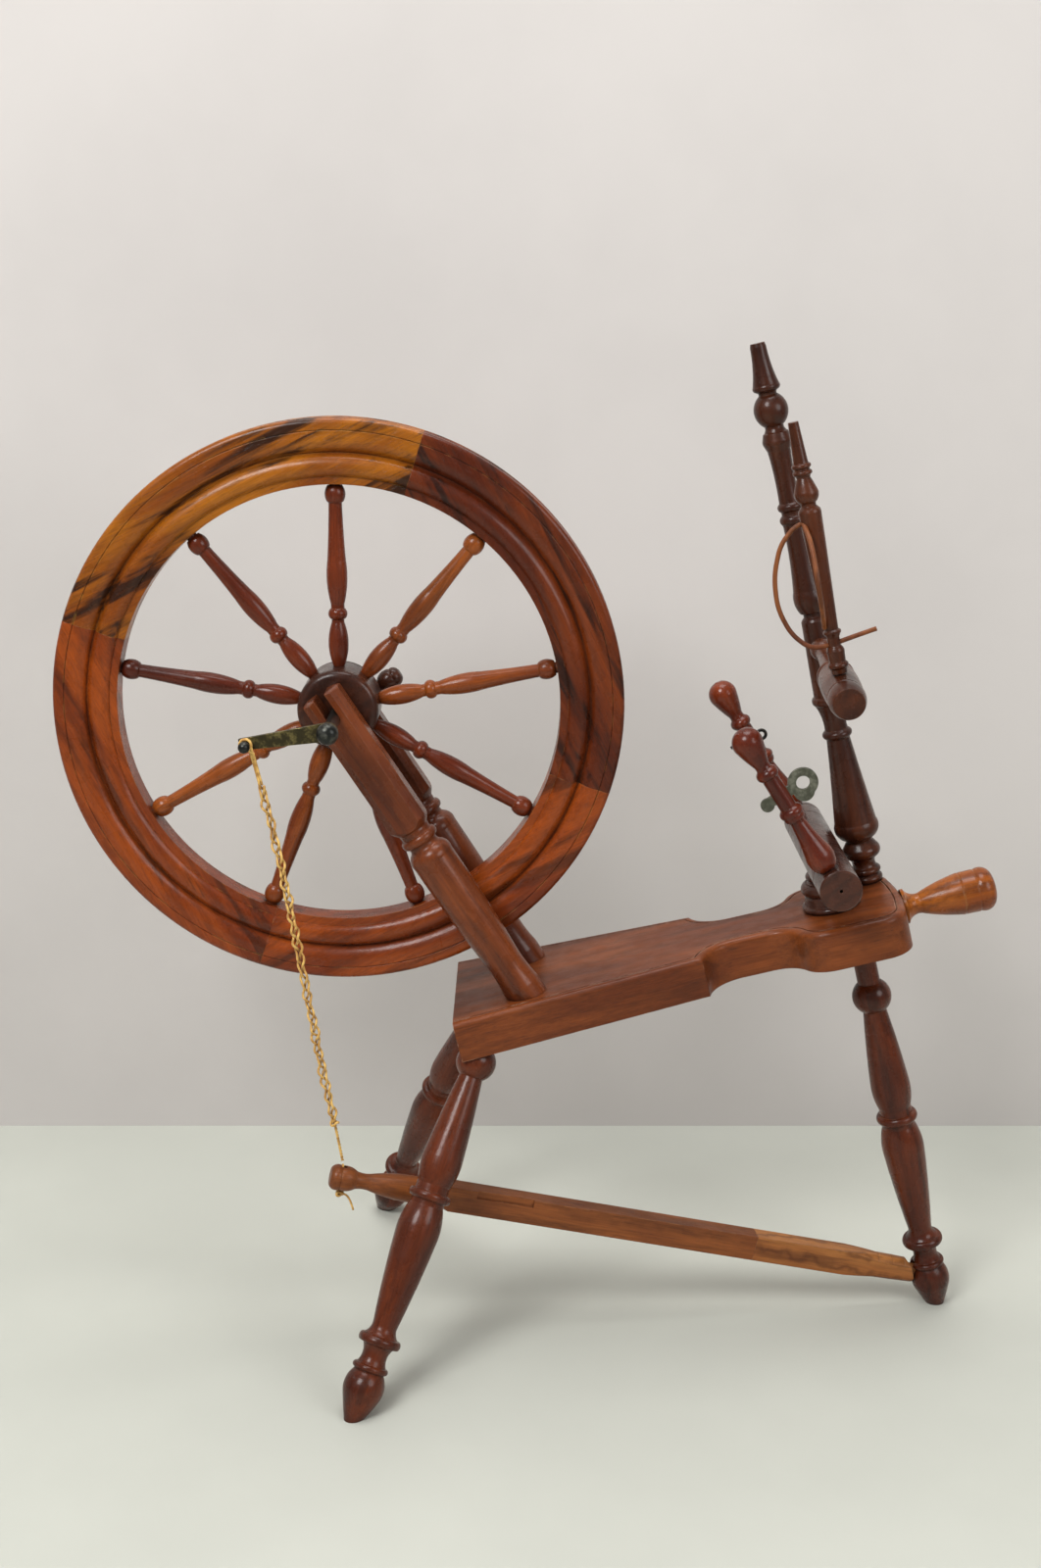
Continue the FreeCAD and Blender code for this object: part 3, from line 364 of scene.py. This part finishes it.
def mixColour(tree, share, first, second):
    node = add(tree, "ShaderNodeMix", data_type="RGBA")
    for where, source in ((0, share), (6, first), (7, second)):
        if hasattr(source, "is_output"):
            tree.links.new(source, node.inputs[where])
        else:
            node.inputs[where].default_value = source
    return node.outputs[2]


# 0 below low and 1 above high.
def ramp(tree, source, low, high):
    node = add(tree, "ShaderNodeMapRange", [(0, source), (1, low), (2, high)],
               interpolation_type="SMOOTHSTEP")
    return node.outputs[0]


def stretched(tree, vector, scale):
    return add(tree, "ShaderNodeVectorMath", [(0, vector), (1, scale)], operation="MULTIPLY").outputs[0]


def noise(tree, vector, scale, detail=3.0, rough=0.55):
    node = add(tree, "ShaderNodeTexNoise", [("Vector", vector), ("Scale", scale), ("Detail", detail),
                                            ("Roughness", rough)])
    return node.outputs["Fac"]


# Wood with its grain along Z: growth rings, pores, patches and long dark streaks.
def buildGrain():
    group, start, end = newGroup("woodGrain", [
        ("Vector", "NodeSocketVector", None),
        ("Seed", "NodeSocketFloat", 0.0),
        ("Light", "NodeSocketColor", (0.4, 0.15, 0.05, 1)),
        ("Base", "NodeSocketColor", (0.25, 0.08, 0.03, 1)),
        ("Dark", "NodeSocketColor", (0.05, 0.015, 0.01, 1)),
        ("Rings", "NodeSocketFloat", 0.5),
        ("Streaks", "NodeSocketFloat", 0.5),
        ("Patches", "NodeSocketFloat", 0.5),
    ], [("Color", "NodeSocketColor"), ("Height", "NodeSocketFloat"), ("Gloss", "NodeSocketFloat")])
    give = start.outputs
    offset = add(group, "ShaderNodeCombineXYZ", [
        (0, calc(group, "MULTIPLY", give["Seed"], 0.173)),
        (1, calc(group, "MULTIPLY", give["Seed"], 0.311)),
        (2, calc(group, "MULTIPLY", give["Seed"], 0.527))]).outputs[0]
    placed = add(group, "ShaderNodeVectorMath", [(0, give["Vector"]), (1, offset)]).outputs[0]
    warp = add(group, "ShaderNodeTexNoise", [("Vector", stretched(group, placed, (1, 1, 0.22))),
                                             ("Scale", 26.0), ("Detail", 2.0)]).outputs["Color"]
    warped = add(group, "ShaderNodeVectorMath", [(0, warp), (1, (0.016, 0.016, 0.0)), (2, placed)],
                 operation="MULTIPLY_ADD").outputs[0]
    tilted = add(group, "ShaderNodeMapping", [("Vector", warped), ("Location", (0.045, 0.02, 0)),
                                              ("Rotation", (0.10, 0.06, 0))]).outputs[0]
    rings = add(group, "ShaderNodeTexWave", [("Vector", tilted), ("Scale", 24.0), ("Distortion", 3.4),
                                             ("Detail", 2.0), ("Detail Scale", 3.0)],
                wave_type="RINGS", rings_direction="Z", wave_profile="SIN").outputs["Fac"]
    ringLine = calc(group, "POWER", rings, 3.0)
    fibres = noise(group, stretched(group, placed, (1, 1, 0.035)), 780.0, 3.0, 0.6)
    pores = ramp(group, noise(group, stretched(group, placed, (1, 1, 0.05)), 1300.0, 2.0, 0.5), 0.60, 0.70)
    patches = ramp(group, noise(group, stretched(group, placed, (1, 1, 0.25)), 24.0, 3.0), 0.34, 0.68)
    streak = ramp(group, noise(group, stretched(group, warped, (1, 1, 0.07)), 58.0, 4.0, 0.6), 0.51, 0.64)
    fine = ramp(group, noise(group, stretched(group, warped, (1, 1, 0.05)), 190.0, 3.0, 0.6), 0.52, 0.72)
    share = calc(group, "MULTIPLY", patches, give["Patches"])
    colour = mixColour(group, share, give["Base"], give["Light"])
    colour = mixColour(group, calc(group, "MULTIPLY", ringLine, give["Rings"]), colour, give["Dark"])
    colour = mixColour(group, calc(group, "MULTIPLY", calc(group, "MULTIPLY", fine, 0.45), give["Rings"]),
                       colour, give["Dark"])
    colour = mixColour(group, calc(group, "MULTIPLY", streak, give["Streaks"]), colour, give["Dark"])
    tone = add(group, "ShaderNodeMapRange", [(0, fibres), (1, 0.3), (2, 0.7), (3, 0.80), (4, 1.18)])
    toned = add(group, "ShaderNodeVectorMath", [(0, colour), ("Scale", tone.outputs[0])],
                operation="SCALE")
    colour = toned.outputs[0]
    colour = mixColour(group, calc(group, "MULTIPLY", pores, 0.35), colour, give["Dark"])
    height = calc(group, "MULTIPLY", fibres, 0.35)
    height = calc(group, "SUBTRACT", height, calc(group, "MULTIPLY", pores, 0.5))
    height = calc(group, "SUBTRACT", height, calc(group, "MULTIPLY", ringLine, 0.15))
    group.links.new(colour, end.inputs["Color"])
    group.links.new(height, end.inputs["Height"])
    group.links.new(ramp(group, noise(group, placed, 60.0, 3.0), 0.35, 0.70), end.inputs["Gloss"])
    return group


# Old varnish with rubbed edges, plus painted shade: colour darkened towards near black in corners and
# creases found by ambient occlusion, with grime speckle.
def buildWearShade():
    group, start, end = newGroup("varnishWearAndPaintedShade", [
        ("Vector", "NodeSocketVector", None),
        ("Color", "NodeSocketColor", (0.3, 0.1, 0.04, 1)),
        ("Worn", "NodeSocketColor", (0.5, 0.25, 0.12, 1)),
        ("ShadeAndGrime", "NodeSocketFloat", 0.7),
        ("Wear", "NodeSocketFloat", 0.4),
        ("Reach", "NodeSocketFloat", 0.0012),
    ], [("Color", "NodeSocketColor"), ("Mask", "NodeSocketFloat"), ("Normal", "NodeSocketVector")])
    give = start.outputs
    bevel = add(group, "ShaderNodeBevel", [("Radius", give["Reach"])], samples=6)
    geometry = add(group, "ShaderNodeNewGeometry")
    same = add(group, "ShaderNodeVectorMath", [(0, bevel.outputs[0]), (1, geometry.outputs["Normal"])],
               operation="DOT_PRODUCT").outputs["Value"]
    edge = ramp(group, calc(group, "SUBTRACT", 1.0, same), 0.01, 0.12)
    # Ambient occlusion within 6 mm gives the mask for the painted shade in corners and creases.
    near = add(group, "ShaderNodeAmbientOcclusion", [("Distance", 0.006)], samples=5).outputs["AO"]
    deep = ramp(group, calc(group, "SUBTRACT", 1.0, near), 0.28, 0.80)
    speckle = noise(group, give["Vector"], 240.0, 4.0, 0.65)
    rubbed = ramp(group, noise(group, give["Vector"], 75.0, 4.0, 0.6), 0.46, 0.62)
    wear = calc(group, "MULTIPLY", calc(group, "MULTIPLY", edge, rubbed), give["Wear"])
    wear = calc(group, "MULTIPLY", wear, calc(group, "SUBTRACT", 1.0, deep))
    # Painted shade, with grime speckle, where the occlusion is deep.
    creaseShadeGrime = calc(group, "MULTIPLY", deep, calc(group, "ADD", speckle, 0.45))
    creaseShadeGrime = calc(group, "MULTIPLY", creaseShadeGrime, give["ShadeAndGrime"])
    colour = mixColour(group, wear, give["Color"], give["Worn"])
    # Painted shade and grime: the colour goes towards near black.
    colour = mixColour(group, calc(group, "MINIMUM", creaseShadeGrime, 0.92), colour, (0.012, 0.007, 0.005, 1))
    group.links.new(colour, end.inputs["Color"])
    group.links.new(calc(group, "MINIMUM", calc(group, "ADD", creaseShadeGrime, wear), 1.0), end.inputs["Mask"])
    group.links.new(bevel.outputs[0], end.inputs["Normal"])
    return group


grainGroup = buildGrain()
wearShadeGroup = buildWearShade()


# shadeAndGrime is the strength of the painted shade in corners and creases, with grime speckle.
woods = {
    "bench": {
        "light": (0.215, 0.0538, 0.0117), "base": (0.112, 0.0253, 0.0066),
        "dark": (0.03, 0.009, 0.004), "worn": (0.52, 0.33, 0.22), "wear": 0.9, "shadeAndGrime": 0.7,
        "rings": 0.22, "streaks": 0.35, "patches": 0.9, "rough": 0.34, "coat": 0.1,
    },
    "leg": {
        "light": (0.124, 0.0245, 0.0064), "base": (0.054, 0.0101, 0.0038),
        "dark": (0.016, 0.005, 0.003), "worn": (0.36, 0.12, 0.04), "wear": 0.4, "shadeAndGrime": 0.7,
        "rings": 0.2, "streaks": 0.5, "patches": 0.9, "rough": 0.27, "coat": 0.22,
    },
    "upright": {
        "light": (0.196, 0.0451, 0.0102), "base": (0.093, 0.0198, 0.0063),
        "dark": (0.022, 0.007, 0.004), "worn": (0.38, 0.15, 0.06), "wear": 0.6, "shadeAndGrime": 0.7,
        "rings": 0.2, "streaks": 0.4, "patches": 0.9, "rough": 0.27, "coat": 0.22,
    },
    "goldenRim": {
        "light": (0.37, 0.1184, 0.0071), "base": (0.198, 0.0455, 0.0042),
        "dark": (0.022, 0.007, 0.003), "worn": (0.6, 0.3, 0.06), "wear": 0.5, "shadeAndGrime": 0.6,
        "rings": 0.12, "streaks": 0.95, "patches": 1.0, "rough": 0.27, "coat": 0.22,
    },
    "darkRim": {
        "light": (0.179, 0.0333, 0.0055), "base": (0.082, 0.0134, 0.0033),
        "dark": (0.014, 0.005, 0.003), "worn": (0.42, 0.15, 0.04), "wear": 0.5, "shadeAndGrime": 0.7,
        "rings": 0.22, "streaks": 0.85, "patches": 0.9, "rough": 0.27, "coat": 0.22,
    },
    "redRim": {
        "light": (0.29, 0.0548, 0.0062), "base": (0.154, 0.0245, 0.0037),
        "dark": (0.022, 0.007, 0.003), "worn": (0.48, 0.2, 0.05), "wear": 0.5, "shadeAndGrime": 0.7,
        "rings": 0.2, "streaks": 0.6, "patches": 1.0, "rough": 0.27, "coat": 0.22,
    },
    "redSpoke": {
        "light": (0.18, 0.0304, 0.0068), "base": (0.076, 0.0114, 0.0038),
        "dark": (0.018, 0.005, 0.003), "worn": (0.38, 0.12, 0.04), "wear": 0.35, "shadeAndGrime": 0.5,
        "rings": 0.12, "streaks": 0.35, "patches": 0.9, "rough": 0.24, "coat": 0.25,
    },
    "orangeSpoke": {
        "light": (0.304, 0.0756, 0.0115), "base": (0.16, 0.0302, 0.0058),
        "dark": (0.03, 0.009, 0.004), "worn": (0.48, 0.21, 0.07), "wear": 0.35, "shadeAndGrime": 0.5,
        "rings": 0.2, "streaks": 0.4, "patches": 0.9, "rough": 0.24, "coat": 0.25,
    },
    "hub": {
        "light": (0.08, 0.022, 0.009), "base": (0.036, 0.011, 0.006),
        "dark": (0.01, 0.004, 0.003), "worn": (0.24, 0.08, 0.03), "wear": 0.4, "shadeAndGrime": 0.7,
        "rings": 0.4, "streaks": 0.5, "patches": 0.8, "rough": 0.28, "coat": 0.25,
    },
    "barrel": {
        "light": (0.075, 0.022, 0.011), "base": (0.034, 0.011, 0.007),
        "dark": (0.01, 0.005, 0.004), "worn": (0.24, 0.1, 0.05), "wear": 0.4, "shadeAndGrime": 0.7,
        "rings": 0.35, "streaks": 0.35, "patches": 0.8, "rough": 0.25, "coat": 0.35,
    },
    "maiden": {
        "light": (0.221, 0.0378, 0.0095), "base": (0.089, 0.0126, 0.0047),
        "dark": (0.016, 0.004, 0.003), "worn": (0.42, 0.13, 0.04), "wear": 0.35, "shadeAndGrime": 0.7,
        "rings": 0.1, "streaks": 0.45, "patches": 0.9, "rough": 0.22, "coat": 0.3,
    },
    "post": {
        "light": (0.09, 0.0222, 0.0066), "base": (0.038, 0.0094, 0.004),
        "dark": (0.01, 0.004, 0.003), "worn": (0.28, 0.1, 0.04), "wear": 0.45, "shadeAndGrime": 0.7,
        "rings": 0.25, "streaks": 0.4, "patches": 0.85, "rough": 0.27, "coat": 0.25,
    },
    "treadle": {
        "light": (0.257, 0.0767, 0.0188), "base": (0.142, 0.0379, 0.0111),
        "dark": (0.03, 0.01, 0.005), "worn": (0.42, 0.2, 0.09), "wear": 0.5, "shadeAndGrime": 0.7,
        "rings": 0.22, "streaks": 0.35, "patches": 0.9, "rough": 0.38, "coat": 0.08,
    },
    "splice": {
        "light": (0.43, 0.171, 0.0467), "base": (0.25, 0.0808, 0.0204),
        "dark": (0.075, 0.022, 0.008), "worn": (0.5, 0.28, 0.13), "wear": 0.4, "shadeAndGrime": 0.7,
        "rings": 0.55, "streaks": 0.45, "patches": 0.9, "rough": 0.36, "coat": 0.08,
    },
    "handle": {
        "light": (0.347, 0.0975, 0.0109), "base": (0.205, 0.0432, 0.006),
        "dark": (0.06, 0.016, 0.006), "worn": (0.6, 0.32, 0.1), "wear": 0.5, "shadeAndGrime": 0.8,
        "rings": 0.4, "streaks": 0.5, "patches": 1.0, "rough": 0.26, "coat": 0.22,
    },
    "rib": {
        "light": (0.26, 0.085, 0.026), "base": (0.13, 0.036, 0.013),
        "dark": (0.03, 0.009, 0.005), "worn": (0.5, 0.3, 0.16), "wear": 0.2, "shadeAndGrime": 0.4,
        "rings": 0.2, "streaks": 0.5, "patches": 0.9, "rough": 0.42, "coat": 0.05,
    },
}


def rgba(colour):
    return (*colour, 1.0)


# The middle of a node and the direction in which it is longest.
def grainAxis(node):
    places = np.empty(len(node.data.vertices) * 3)
    node.data.vertices.foreach_get("co", places)
    places = places.reshape(-1, 3)
    middle = (places.min(0) + places.max(0)) / 2
    spread = places - places.mean(0)
    values, vectors = np.linalg.eigh(spread.T @ spread)
    return Vector(middle), Vector(vectors[:, int(np.argmax(values))])


def paintWood(node, wood, seed, axis=None, latheMarks=0.5):
    look = woods[wood]
    middle, longest = grainAxis(node)
    direction = Vector(axis) if axis else longest
    material = bpy.data.materials.new("wood_" + node.name)
    material.use_nodes = True
    tree = material.node_tree
    shader = tree.nodes["Principled BSDF"]
    coordinates = add(tree, "ShaderNodeTexCoord").outputs["Object"]
    turn = direction.to_track_quat("Z", "Y").to_euler()
    centred = [("Vector", coordinates), ("Location", middle), ("Rotation", turn)]
    local = add(tree, "ShaderNodeMapping", centred, vector_type="TEXTURE").outputs[0]
    grain = add(tree, "ShaderNodeGroup", node_tree=grainGroup)
    wearShadeNode = add(tree, "ShaderNodeGroup", node_tree=wearShadeGroup)
    tree.links.new(local, grain.inputs["Vector"])
    tree.links.new(local, wearShadeNode.inputs["Vector"])
    tree.links.new(grain.outputs["Color"], wearShadeNode.inputs["Color"])
    grain.inputs["Seed"].default_value = seed
    for socket in ("light", "base", "dark"):
        grain.inputs[socket.capitalize()].default_value = rgba(look[socket])
    for socket in ("rings", "streaks", "patches"):
        grain.inputs[socket.capitalize()].default_value = look[socket]
    wearShadeNode.inputs["Worn"].default_value = rgba(look["worn"])
    # Strength of the painted shade in corners and creases, with grime speckle.
    wearShadeNode.inputs["ShadeAndGrime"].default_value = look["shadeAndGrime"]
    wearShadeNode.inputs["Wear"].default_value = look["wear"]
    tree.links.new(wearShadeNode.outputs["Color"], shader.inputs["Base Color"])
    roughness = calc(tree, "MULTIPLY_ADD", grain.outputs["Gloss"], 0.12, look["rough"] - 0.03)
    roughness = calc(tree, "MULTIPLY_ADD", wearShadeNode.outputs["Mask"], 0.30, roughness)
    tree.links.new(roughness, shader.inputs["Roughness"])
    lathe = noise(tree, stretched(tree, local, (0.02, 0.02, 1.0)), 620.0, 2.0, 0.5)
    dents = noise(tree, local, 95.0, 3.0, 0.5)
    height = calc(tree, "MULTIPLY_ADD", lathe, latheMarks, grain.outputs["Height"])
    height = calc(tree, "MULTIPLY_ADD", dents, 1.3, height)
    bump = add(tree, "ShaderNodeBump", [("Strength", 0.55), ("Distance", 0.00035), ("Height", height),
                                        ("Normal", wearShadeNode.outputs["Normal"])])
    tree.links.new(bump.outputs[0], shader.inputs["Normal"])
    shader.inputs["Coat Weight"].default_value = look["coat"] * 0.7
    shader.inputs["Coat Roughness"].default_value = 0.14
    shader.inputs["Specular IOR Level"].default_value = 0.20
    giveMaterial(node, material)


def giveMaterial(obj, material):
    if not obj.data.materials:
        obj.data.materials.append(material)
    for slot in obj.material_slots:
        slot.material = material


firstJoint = 72      # degrees, from +X towards +Z
benchSlope = math.radians(13.6)
maidenLean = math.radians(33)


# Each felloe is sawn from a straight board, so its grain runs along its chord.
def chord(number):
    middle = firstJoint - 45 - 90 * (number - 1)
    angle = math.radians(middle + 90)
    return (math.cos(angle), 0, math.sin(angle))


benchAxis = (math.cos(benchSlope), 0, math.sin(benchSlope))
benchNormal = (-benchAxis[2], 0, benchAxis[0])
maidenAxis = (-math.sin(maidenLean), 0, math.cos(maidenLean))

paintWood(nodes["bench"], "bench", 1.0, benchAxis, 0.0)
for index, name in enumerate(("front_left_leg", "rear_left_leg", "right_leg")):
    paintWood(nodes[name], "leg", 2.0 + index)
for index, name in enumerate(("front_upright", "rear_upright")):
    paintWood(nodes[name], "upright", 6.0 + index)
for number, wood in ((1, "darkRim"), (2, "redRim"), (3, "redRim"), (4, "goldenRim")):
    paintWood(nodes["felloe_%d" % number], wood, 10.0 + number, chord(number), 0.0)
orangeSpokes = (2, 3, 6, 7)
for number in range(1, 10):
    wood = "orangeSpoke" if number in orangeSpokes else "redSpoke"
    paintWood(nodes["spoke_%d" % number], wood, 20.0 + number * 1.7)
paintWood(nodes["hub"], "hub", 40.0, (0, 1, 0), 0.4)
paintWood(nodes["bearing_peg"], "hub", 41.0)
paintWood(nodes["screw_retainer"], "hub", 42.0)
paintWood(nodes["treadle_pin"], "hub", 43.0)
paintWood(nodes["mother_of_all_barrel"], "barrel", 44.0, (0, 1, 0), 0.6)
paintWood(nodes["mother_of_all_pillar"], "barrel", 45.0, benchNormal, 0.4)
paintWood(nodes["front_maiden"], "maiden", 46.0, maidenAxis)
paintWood(nodes["rear_maiden"], "maiden", 47.5, maidenAxis)
paintWood(nodes["tension_screw"], "handle", 48.0, benchAxis)
paintWood(nodes["distaff_post"], "post", 49.0)
paintWood(nodes["distaff_arm"], "post", 50.0)
paintWood(nodes["distaff_stick"], "post", 51.0)
paintWood(nodes["loop_rib"], "rib", 52.0, (0, 0, 1), 0.0)
paintWood(nodes["bowed_rib"], "rib", 53.0, (0, 0, 1), 0.0)
paintWood(nodes["treadle_bar"], "treadle", 54.0, None, 0.2)
paintWood(nodes["treadle_end"], "splice", 55.0, None, 0.2)
print("woods painted")


metals = {
    "iron": {"colour": (0.020, 0.021, 0.019), "wear": (0.09, 0.09, 0.075), "rough": 0.30, "metallic": 0.75},
    "crank": {"colour": (0.055, 0.045, 0.022), "wear": (0.24, 0.19, 0.07), "rough": 0.36, "metallic": 0.85},
    "plate": {"colour": (0.095, 0.095, 0.070), "wear": (0.22, 0.22, 0.17), "rough": 0.42, "metallic": 0.8},
    "wire": {"colour": (0.012, 0.011, 0.010), "wear": (0.06, 0.045, 0.035), "rough": 0.40, "metallic": 0.7},
}


def paintMetal(node, metal):
    look = metals[metal]
    material = bpy.data.materials.new("metal_" + node.name)
    material.use_nodes = True
    tree = material.node_tree
    shader = tree.nodes["Principled BSDF"]
    local = add(tree, "ShaderNodeTexCoord").outputs["Object"]
    stain = ramp(tree, noise(tree, local, 120.0, 5.0, 0.65), 0.44, 0.68)
    wearShadeNode = add(tree, "ShaderNodeGroup", node_tree=wearShadeGroup)
    tree.links.new(local, wearShadeNode.inputs["Vector"])
    tree.links.new(mixColour(tree, stain, rgba(look["colour"]), rgba(look["wear"])), wearShadeNode.inputs["Color"])
    wearShadeNode.inputs["Worn"].default_value = rgba([3 * c for c in look["wear"]])
    # Painted shade, with grime speckle, in the metal's corners and creases.
    wearShadeNode.inputs["ShadeAndGrime"].default_value = 0.6
    wearShadeNode.inputs["Wear"].default_value = 0.5
    wearShadeNode.inputs["Reach"].default_value = 0.0006
    tree.links.new(wearShadeNode.outputs["Color"], shader.inputs["Base Color"])
    tree.links.new(calc(tree, "MULTIPLY_ADD", stain, 0.2, look["rough"]), shader.inputs["Roughness"])
    bump = add(tree, "ShaderNodeBump", [("Strength", 0.5), ("Distance", 0.0002),
                                        ("Height", noise(tree, local, 260.0, 4.0, 0.6)),
                                        ("Normal", wearShadeNode.outputs["Normal"])])
    tree.links.new(bump.outputs[0], shader.inputs["Normal"])
    shader.inputs["Metallic"].default_value = look["metallic"]
    giveMaterial(node, material)


for name in ("axle", "axle_nut", "crank_pin"):
    paintMetal(nodes[name], "iron")
paintMetal(nodes["crank_arm"], "crank")
paintMetal(nodes["front_bearing"], "plate")
paintMetal(nodes["rear_bearing"], "wire")


def makeTwineMaterial():
    material = bpy.data.materials.new("golden_twine")
    material.use_nodes = True
    tree = material.node_tree
    shader = tree.nodes["Principled BSDF"]
    local = add(tree, "ShaderNodeTexCoord").outputs["Object"]
    fibre = noise(tree, stretched(tree, local, (1, 1, 0.3)), 1500.0, 3.0, 0.6)
    tone = ramp(tree, noise(tree, local, 160.0, 3.0), 0.35, 0.65)
    colour = mixColour(tree, tone, (0.44, 0.21, 0.035, 1), (0.80, 0.50, 0.13, 1))
    # Painted shade between the strands: the colour darkens to brown where ambient occlusion is deep.
    near = add(tree, "ShaderNodeAmbientOcclusion", [("Distance", 0.003)], samples=4).outputs["AO"]
    colour = mixColour(tree, ramp(tree, near, 0.25, 0.85), (0.24, 0.080, 0.010, 1), colour)
    tree.links.new(colour, shader.inputs["Base Color"])
    bump = add(tree, "ShaderNodeBump", [("Strength", 0.6), ("Distance", 0.0003), ("Height", fibre)])
    tree.links.new(bump.outputs[0], shader.inputs["Normal"])
    shader.inputs["Roughness"].default_value = 0.5
    shader.inputs["Sheen Weight"].default_value = 0.15
    return material


twineMaterial = makeTwineMaterial()
for piece in twinePieces:
    giveMaterial(piece, twineMaterial)
print("metals and twine painted")


studio = {
    "wallAt": 0.40,
    "aim": Vector((0.0, 0.0, 0.45)),
    "floorColour": (0.52, 0.53, 0.47, 1),
    "wallColour": (0.62, 0.585, 0.56, 1),
    "key": {"place": (-1.3, -1.9, 2.6), "size": 1.3, "power": 68},
    "fill": {"place": (1.9, -1.7, 1.7), "size": 1.5, "power": 26},
    "top": {"place": (0.0, 0.1, 3.0), "size": 1.6, "power": 42},
}


def paintPlain(name, colour, rough):
    material = bpy.data.materials.new(name)
    material.use_nodes = True
    tree = material.node_tree
    shader = tree.nodes["Principled BSDF"]
    local = add(tree, "ShaderNodeTexCoord").outputs["Object"]
    cloud = ramp(tree, noise(tree, local, 2.2, 4.0), 0.35, 0.68)
    darker = tuple(0.93 * c for c in colour[:3]) + (1,)
    tree.links.new(mixColour(tree, cloud, colour, darker), shader.inputs["Base Color"])
    shader.inputs["Roughness"].default_value = rough
    front = add(tree, "ShaderNodeNewGeometry").outputs["Backfacing"]
    tree.links.new(calc(tree, "SUBTRACT", 1.0, front), shader.inputs["Alpha"])
    return material


def makeStudio(settings):
    bm = bmesh.new()
    bmesh.ops.create_grid(bm, x_segments=1, y_segments=1, size=4.0)
    floor = linkMesh("studio_floor", bm, False)
    giveMaterial(floor, paintPlain("pale_floor", settings["floorColour"], 0.6))
    bm = bmesh.new()
    bmesh.ops.create_grid(bm, x_segments=1, y_segments=1, size=4.0)
    upright = Matrix.Translation((0, settings["wallAt"], 2.0)) @ Matrix.Rotation(math.pi / 2, 4, "X")
    bmesh.ops.transform(bm, matrix=upright, verts=bm.verts)
    wall = linkMesh("studio_wall", bm, False)
    giveMaterial(wall, paintPlain("pale_wall", settings["wallColour"], 0.8))
    wall.visible_shadow = False
    for name in ("key", "fill", "top"):
        part = settings[name]
        light = bpy.data.lights.new(name, "AREA")
        light.shape = "DISK"
        light.size = part["size"]
        light.energy = part["power"]
        lamp = bpy.data.objects.new(name, light)
        lamp.location = part["place"]
        aim = settings["aim"] - Vector(part["place"])
        lamp.rotation_euler = aim.to_track_quat("-Z", "Y").to_euler()
        bpy.context.scene.collection.objects.link(lamp)
    world = bpy.data.worlds.new("room")
    world.use_nodes = True
    world.node_tree.nodes["Background"].inputs["Color"].default_value = (0.97, 0.98, 1.0, 1)
    world.node_tree.nodes["Background"].inputs["Strength"].default_value = 0.29
    bpy.context.scene.world = world
    bpy.context.scene.view_settings.view_transform = "Standard"


makeStudio(studio)
print("studio ready")
